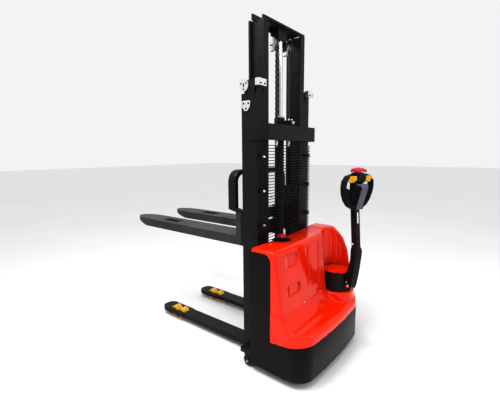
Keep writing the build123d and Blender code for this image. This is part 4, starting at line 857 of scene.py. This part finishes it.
def leaf_chain(parts, pins):
    """Two leaf chains, left and right, laced plate by plate over a list of (x, z) pins."""
    for side in (1, -1):
        for k, (x, z) in enumerate(pins):
            place = facing((x, side * CHAIN_Y - PIN_LENGTH / 2, z), (0, 1, 0), (0, 0, 1))
            parts.add(*lathe(PIN_PROFILE, 10), place)
            if k + 1 == len(pins):
                continue
            nx, nz = pins[k + 1]
            gap = math.hypot(nx - x, nz - z)
            for j, off in enumerate(LINK_OFFSETS):
                if (j + k) % 2:
                    continue
                mid = ((x + nx) / 2, side * CHAIN_Y + off, (z + nz) / 2)
                place = facing(mid, (0, 1, 0), (nx - x, 0, nz - z))
                parts.add(*prism(stadium(gap, LINK_R), -LINK_HALF, LINK_HALF, 0.4), place)


def straight_pins(x, z0, z1):
    """Pins about one pitch apart on an upright line."""
    n = round(abs(z1 - z0) / PITCH)
    return [(x, z0 + (z1 - z0) * i / n) for i in range(n + 1)]


rear = Parts()
leaf_chain(rear, straight_pins(19.0, 1430.0, 1971.0))
rear_links = rear.make("leaf_chain_rear", "chain_steel", None)
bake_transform(rear_links)
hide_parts("rear_chains")
front = Parts()
leaf_chain(front, straight_pins(95.0, 800.0, 1971.0))
front_links = front.make("leaf_chain_front", "chain_steel", None)
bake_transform(front_links)
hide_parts("front_chains")
wrap = Parts()
WRAP_LINKS = 8
leaf_chain(wrap, [(SHEAVE[0] - WRAP_R * math.cos(math.pi * i / WRAP_LINKS),
                   SHEAVE[1] + WRAP_R * math.sin(math.pi * i / WRAP_LINKS)) for i in range(WRAP_LINKS + 1)])
wrap.make("leaf_chain_wrap", "chain_steel", "inner_mast")


# ---------------------------------------------------------------- fastenings and fittings
SIDES = (1, -1)
UP = (0, 0, 1)
FORWARD = (1, 0, 0)
REARWARD = (-1, 0, 0)
ROD_X = 45.0
BODY_SIDE = 400.0
BEAD_STEP = 5
LEG_Y = 207.0
AXLE_Z = 40
ROLLER_X = {"front": 905.0, "rear": 821.0}
CASTER = (16, 364.0, 37)
LOW_DOT = [(0, 0), (5.2, 0), (5.2, 0.8), (4.6, 1.2), (0, 1.2)]
SOCKET_DOT = [(0, 0), (5.6, 0), (5.6, 0.9), (5.0, 1.3), (3.2, 1.3), (2.8, 0.5), (0, 0.5)]
GLAND = [(17.8, 1529), (30, 1529), (31, 1531), (31, 1536), (29, 1538), (21, 1538), (19.5, 1541), (17.8, 1541)]
SHEAVE_CAP = [(0, 0), (12, 0), (12, 3), (10.5, 4.5), (4, 4.5), (3, 3.5), (0, 3.5)]
ROD_NUT_TOP = [(0, 2084), (10, 2084), (10, 2096), (8.5, 2098), (0, 2098)]
AXLE_CAP = [(0, -1.5), (13, -1.5), (13, 1.2), (11.5, 2.4), (4, 2.4), (3, 1.4), (0, 1.4)]
BEARING_FACE = [(11, 29.6), (15, 29.6), (15.5, 30.4), (20, 30.4), (21, 29.4), (27, 29.4), (27.6, 30.2),
                (30, 30.2), (30.5, 29.2), (11, 29.2), (11, 29.6)]
HUB_FACE = [(9, 14.4), (14, 14.4), (14.6, 15.4), (22, 15.4), (23.2, 14.2), (25, 14.2), (25.6, 15.0),
            (27, 15.0), (27.4, 14.0), (9, 14.0), (9, 14.4)]
STOP_RING = [(30, 766), (46.5, 766), (47.5, 768.4), (57, 768.4), (60, 767.2), (60.5, 764),
             (30, 764), (30, 766)]
STOP_CAP = [(0, 801.5), (18, 801.5), (21, 800.6), (20, 802.6), (9, 803.6), (0, 803.8)]
ARROW_DOT = [(0, 802), (1.5, 802), (1.3, 803.6), (0, 803.8)]
LABEL_DOT = [(0, -0.4), (6.5, -0.4), (6.5, 1.0), (5.8, 1.6), (0, 1.6)]
DRUM_RIM = [(96, 506), (99, 506), (100.6, 504.5), (100.6, 498), (99.8, 497), (96, 497), (96, 506)]
DRUM_CAP = [(0, 510.5), (60, 509.5), (90, 507.6), (95.4, 506.6), (95.4, 504), (0, 504)]


def standing(x, y):
    """A placing function for shapes drawn at their own height over a point of the plan."""
    return facing((x, y, 0), UP, FORWARD)


def circle(cu, cv, radius, count, first):
    """Points spaced evenly round a centre, the first at an angle in degrees."""
    for i in range(count):
        a = math.radians(first + 360 / count * i)
        yield cu + radius * math.cos(a), cv + radius * math.sin(a)


def bead(parts, path, radius):
    """A weld bead: a round run along a path."""
    pts = [Vector(p) for p in path]
    run = []
    for p, q in zip(pts, pts[1:]):
        n = max(2, int((q - p).length / BEAD_STEP))
        run += [p.lerp(q, i / n) for i in range(n)]
    run.append(pts[-1])
    tube(parts, run, radius)


def mast_fastenings():
    bolts = Parts()
    for sy in SIDES:
        for z in (877.0, 1083.0, 1286.0):
            hex_bolt(bolts, (-28.5, sy * 270.0, z), REARWARD, across=10.0, height=7.0, washer=8.0)
    for y in (-17.0, 17.0):
        hex_bolt(bolts, (-36.0, y, 1510.0), UP, across=12.0, height=8.0, washer=10.0)
    hex_bolt(bolts, (-57.5, 0.0, 1495.0), REARWARD, across=13.0, height=7.0)
    bolts.make("mast_fastenings", "zinc", "root")


def adjuster_recess_shade():
    """Painted shade: dark discs and slots on the adjusters' two side plates and on their rear face, standing
    a little proud where recesses would be in shade.
    """
    marks = Parts()
    for sy in SIDES:
        for dx, dz in ((-18, 14), (18, 14), (0, -16)):
            marks.add(*lathe(SOCKET_DOT, 18), facing((73.0 + dx, sy * 310.6, 1580.0 + dz), (0, sy, 0)))
        for x, z in circle(89, 1697, 22, 3, 30):
            marks.add(*lathe(LOW_DOT, 18), facing((x, sy * 310.8, z), (0, sy, 0)))
        marks.add(*prism(rounded_rect(6, 24, 2.8), 0, 1.2, 0.4), facing((89, sy * 310.8, 1697), (0, sy, 0)))
        for y in (262.0, 298.0):
            marks.add(*prism(rounded_rect(20, 9, 3), 0, 1.0, 0.3), facing((-28.0, sy * y, 1700), REARWARD))
    marks.make("adjuster_recess_shade", "head_black", "root")


def gland_nut():
    seal = Parts()
    seal.add(*lathe(GLAND, 48), standing(ROD_X, 0))
    for x, y in circle(ROD_X, 0, 25.5, 4, 45):
        cap_screw(seal, (x, y, 1537.5), UP, 3.0, 3.0)
    seal.make("gland_nut", "machined_steel", "root")


def adjuster_seats():
    pads = Parts()
    for sy in SIDES:
        place = facing((6.9, sy * 273.5, 0), UP, (0, 1, 0))
        pads.add(*prism(rounded_rect(13.6, 57, 1.5), 1650, 1686.6, 0.8), place)
    pads.make("adjuster_seats", "black_steel", "root")


def mast_welds():
    welds = Parts()
    for sy in SIDES:
        bead(welds, [(2, sy * 232.0, 61), (110, sy * 232.0, 61)], 3.0)
        bead(welds, [(112.5, sy * 235.0, 61.5), (112.5, sy * 300.0, 61.5)], 2.6)
        bead(welds, [(-19, sy * 303.0, 1384), (-19, sy * 303.0, 1474)], 2.4)
    bead(welds, [(14, -28, 1398), (14, 28, 1398)], 2.4)
    welds.make("mast_welds", "black_steel", "root")


def inner_mast_fastenings():
    fix = Parts()
    for sy in SIDES:
        for y in (120.0, 170.0):
            hex_bolt(fix, (79.5, sy * y, 2062.0), REARWARD, across=12.0, height=6.0)
        fix.add(*lathe(SHEAVE_CAP, 24), facing((57, sy * 89.0, 1971), (0, sy, 0)))
    fix.add(*prism(hexagon(30), 2074, 2086, 1.5), standing(ROD_X, 0))
    fix.add(*lathe(ROD_NUT_TOP, 24), standing(ROD_X, 0))
    fix.make("inner_mast_fastenings", "zinc", "inner_mast")


def carriage_fastenings():
    fix = Parts()
    for sy in SIDES:
        for y in (150.0, 250.0):
            hex_bolt(fix, (213.0, sy * y, 981.0), UP, across=15.0, height=7.0, washer=12.0)
        for z in (811.0, 903.0):
            hex_bolt(fix, (117.5, sy * 264.0, z), REARWARD, across=17.0, height=8.0, washer=14.0)
    fix.make("carriage_fastenings", "zinc", "carriage")


def carriage_welds():
    welds = Parts()
    for sy in SIDES:
        for y in (149.0, 163.0):
            bead(welds, [(117, sy * y, 776), (117, sy * y, 848)], 2.6)
            bead(welds, [(117, sy * y, 870), (117, sy * y, 936)], 2.6)
        bead(welds, [(144, sy * 117.0, 784), (144, sy * 117.0, 848)], 2.8)
        bead(welds, [(144, sy * 117.0, 870), (144, sy * 117.0, 934)], 2.8)
    welds.make("carriage_welds", "black_steel", "carriage")


def axle_caps():
    caps = Parts()
    for sy in SIDES:
        for x in (ROLLER_X["rear"], ROLLER_X["front"]):
            for side in SIDES:
                caps.add(*lathe(AXLE_CAP, 24), facing((x, sy * LEG_Y + side * 59.0, AXLE_Z), (0, side, 0)))
    caps.make("axle_caps", "black_steel", "root")


def roller_bearings(sy, side):
    for end, x in ROLLER_X.items():
        bearing = Parts()
        for d in SIDES:
            bearing.add(*lathe(BEARING_FACE, 36), facing((x, sy * LEG_Y, AXLE_Z), (0, d, 0)))
        bearing.make(f"roller_bearing_{side}_{end}", "machined_steel", f"load_roller_{side}_{end}")


def caster_fittings(sy, side):
    x, y, z = CASTER
    hub = Parts()
    nut = Parts()
    for d in SIDES:
        hub.add(*lathe(HUB_FACE, 32), facing((x, sy * y, z), (0, d, 0)))
        hex_bolt(nut, (x, sy * y + d * 23.0, z), (0, d, 0), across=13.0, height=5.0, washer=8.0)
    hub.make(f"caster_hub_{side}", "head_black", f"caster_wheel_{side}")
    nut.make(f"caster_axle_{side}", "machined_steel", f"caster_fork_{side}")


def caster_bolts():
    bolts = Parts()
    for sy in SIDES:
        for x, y in ((-5.5, 311.0), (-5.5, 385.0), (46.5, 311.0), (46.5, 385.0)):
            hex_bolt(bolts, (x, sy * y, 124), UP, across=11.0, height=5.0, washer=8.5)
    bolts.make("caster_bolts", "black_steel", "root")


def body_screws():
    """Black screws in the side panels, zinc ones in the cover's ledge and seat."""
    panel = Parts()
    cover_fix = Parts()
    for sy in SIDES:
        for x, z in ((-42.0, 716.0), (-136.0, 700.0), (-42.0, 74.0), (-142.0, 74.0)):
            cap_screw(panel, (x, sy * BODY_SIDE, z), (0, sy, 0), 5.0, 1.6)
        for x, z in ((-176.0, 396.0), (-212.0, 398.0)):
            cap_screw(cover_fix, (x, sy * 397.6, z), (0, sy, 0), 4.0, 2.0)
    for y in (147.0, -60.0):
        cap_screw(cover_fix, (-240.5, y, 404.0), (-1, 0, 0.6), 4.2, 4.0)
    panel.make("panel_screws", "black_steel", "root")
    cover_fix.make("cover_screws", "zinc", "root")


def panel_edge_bead():
    edge = Parts()
    line = [(-24, 741), (-112, 741), (-139, 731), (-154, 712), (-159, 690), (-159, 44)]
    for sy in SIDES:
        tube(edge, [(x, sy * 399.4, z) for x, z in line], 1.6)
    edge.make("panel_edge_bead", "black_steel", "root")


def stop_ring():
    ring = Parts()
    ring.add(*lathe(STOP_RING, 56), standing(*STOP))
    ring.make("stop_ring", "head_black", "root")


def stop_cap_arrows():
    """The stop button's raised face, with three curved runs of dots."""
    arrows = Parts()
    arrows.add(*lathe(STOP_CAP, 40), standing(*STOP))
    for run in range(3):
        for k in range(6):
            a = math.radians(120 * run) + math.radians(11 * k)
            place = standing(STOP[0] + 14.5 * math.cos(a), STOP[1] + 14.5 * math.sin(a))
            arrows.add(*lathe(ARROW_DOT, 8), place)
    arrows.make("stop_cap_arrows", "crimson", "emergency_stop_head")


def drum_screws():
    drum = Parts()
    for x, y in circle(*STEER, 86, 8, 22.5):
        cap_screw(drum, (x, y, 506.5), UP, 4.5, 4.5)
    drum.make("drum_screws", "head_black", "steering")


def tiller_fastenings():
    fix = Parts()
    for side in SIDES:
        out = (0, side, 0)
        hex_bolt(fix, (128, side * 30.0, 430), out, across=17.0, height=8.0, washer=13.0,
                 to_world=tiller_world)
        cap_screw(fix, (119, side * 30.0, 454), out, 4.0, 3.0, tiller_world)
        for z in (974, 1136):
            cap_screw(fix, (139, side * 38.0, z), out, 4.0, 2.0, tiller_world)
    fix.make("tiller_fastenings", "zinc", "tiller")


def tiller_marks():
    marks = Parts()
    strip = facing((166.3, 0, 893), (1, 0, 0.08), (-0.08, 0, 1), tiller_world)
    marks.add(*prism(rounded_rect(11, 74, 5), -0.6, 1.2, 0.5), strip)
    marks.add(*lathe(LABEL_DOT, 24), facing((150, 19, 719), (0, 1, 0), UP, tiller_world))
    marks.make("tiller_marks", "label_white", "tiller")


def drum_rim():
    rim = Parts()
    rim.add(*lathe(DRUM_RIM, 72), standing(*STEER))
    rim.make("drum_rim", "head_black", "steering")


def drum_cap():
    disc = Parts()
    disc.add(*lathe(DRUM_CAP, 72), standing(*STEER))
    disc.make("drum_cap", "cover_red", "steering")


mast_fastenings()
adjuster_recess_shade()
gland_nut()
adjuster_seats()
mast_welds()
inner_mast_fastenings()
carriage_fastenings()
carriage_welds()
axle_caps()
for side_sign, side_name in ((1, "left"), (-1, "right")):
    roller_bearings(side_sign, side_name)
    caster_fittings(side_sign, side_name)
caster_bolts()
body_screws()
panel_edge_bead()
stop_ring()
stop_cap_arrows()
drum_screws()
tiller_fastenings()
tiller_marks()
drum_rim()
drum_cap()

BOOT_LINE = smooth_closed([(141, 716), (141, 604), (112, 528), (103, 470), (106, 420), (120, 403), (146, 410),
                           (160, 470), (174, 545), (181, 605), (188, 650), (187, 694)], 2)
BOOT_ROOM = [(68, 370), (147, 370), (147, 436), (154, 490), (167, 560), (174, 620), (68, 620)]


def boot_shape(b, y, z):
    """Bent housing round the steering lug, hollow where the lug turns."""
    outline = polygon(b, z, BOOT_LINE)
    f = round_and(outline, np.abs(y) - 30, 5)
    f = f + 1.8 * ease(outline, -11, -14) * ease(np.abs(y), 26, 29)
    return np.maximum(f, -np.maximum(polygon(b, z, BOOT_ROOM), np.abs(y) - 22.5))


boot = moulded("boot_shell", boot_shape, (94, -36, 396), (192, 36, 724), HEAD_STEP,
               "head_black", "tiller", tiller_world)
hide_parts("tiller_boot")
top_plate = Parts()
top_plate.add(*prism(rounded_rect(68, 364, 3), 2068.5, 2074.5, 0.8), facing((47, 0, 0), UP, (0, 1, 0)))
top_plate.make("mast_top_plate", "black_steel", "inner_mast")


# ---------------------------------------------------------------- floor, light and camera
floor_mat, floor_nt, floor_bsdf = new_material("studio_floor")
FLOOR_STOPS = [(0.3, (0.84, 0.84, 0.845)), (0.7, (0.87, 0.87, 0.87))]
floor_tone = ramp(floor_nt, noise(floor_nt, 0.8, 2.0), FLOOR_STOPS)
floor_nt.links.new(floor_tone, floor_bsdf.inputs["Base Color"])
floor_bsdf.inputs["Roughness"].default_value = 0.6
floor_mesh = bpy.data.meshes.new("studio_floor")
FLOOR_HALF = 30
floor_corners = [(u * FLOOR_HALF, v * FLOOR_HALF, 0) for u, v in ((-1, -1), (1, -1), (1, 1), (-1, 1))]
floor_mesh.from_pydata(floor_corners, [], [(0, 1, 2, 3)])
floor = bpy.data.objects.new("studio_floor", floor_mesh)
floor_mesh.materials.append(floor_mat)
bpy.context.scene.collection.objects.link(floor)

world_data = bpy.data.worlds.new("studio")
bpy.context.scene.world = world_data
world_data.use_nodes = True
background = world_data.node_tree.nodes["Background"]
background.inputs[0].default_value = (1, 1, 1, 1)
background.inputs[1].default_value = 0.92


def area_light(name, location, target, size, energy):
    """A rectangular light aimed at a point."""
    data = bpy.data.lights.new(name, "AREA")
    data.shape = "RECTANGLE"
    data.size, data.size_y = size
    data.energy = energy
    obj = bpy.data.objects.new(name, data)
    obj.location = location
    obj.rotation_euler = (Vector(target) - Vector(location)).to_track_quat("-Z", "Y").to_euler()
    bpy.context.scene.collection.objects.link(obj)


area_light("key", (-3.2, 2.4, 3.0), (-0.4, 0.0, 0.7), (0.45, 0.45), 12)
area_light("top", (-0.2, 0.5, 4.0), (-0.4, 0.0, 0.6), (0.5, 0.5), 28)
area_light("strip", (-0.1, 1.35, 3.0), (-0.6, 0.3, 0.4), (2.4, 0.6), 70)
area_light("fill", (-3.6, -1.6, 2.2), (-0.4, 0.0, 0.7), (0.6, 2.4), 18)

# The camera that the photo's straight edges gave.
CAMERA_PLACE = (-1.6360, 1.8776, 1.3107)
CAMERA_AHEAD = (0.6191, -0.7729, -0.1390)
CAMERA_RIGHT = (-0.7805, -0.6252, 0.0)
CAMERA_ROLL = math.radians(0.44)
SENSOR_WIDTH = 36
LENS = 24.34
camera_data = bpy.data.cameras.new("camera")
camera_data.sensor_width = SENSOR_WIDTH
camera_data.lens = LENS
camera = bpy.data.objects.new("camera", camera_data)
bpy.context.scene.collection.objects.link(camera)
ahead = Vector(CAMERA_AHEAD).normalized()
level = Vector(CAMERA_RIGHT).normalized()
below = ahead.cross(level)
right = level * math.cos(CAMERA_ROLL) + below * math.sin(CAMERA_ROLL)
down = below * math.cos(CAMERA_ROLL) - level * math.sin(CAMERA_ROLL)
turn = Matrix((right, -down, -ahead)).transposed().to_4x4()
camera.matrix_world = Matrix.Translation(CAMERA_PLACE) @ turn
bpy.context.scene.camera = camera
bpy.context.scene.view_settings.view_transform = "Standard"
bpy.context.scene.view_settings.gamma = 0.78
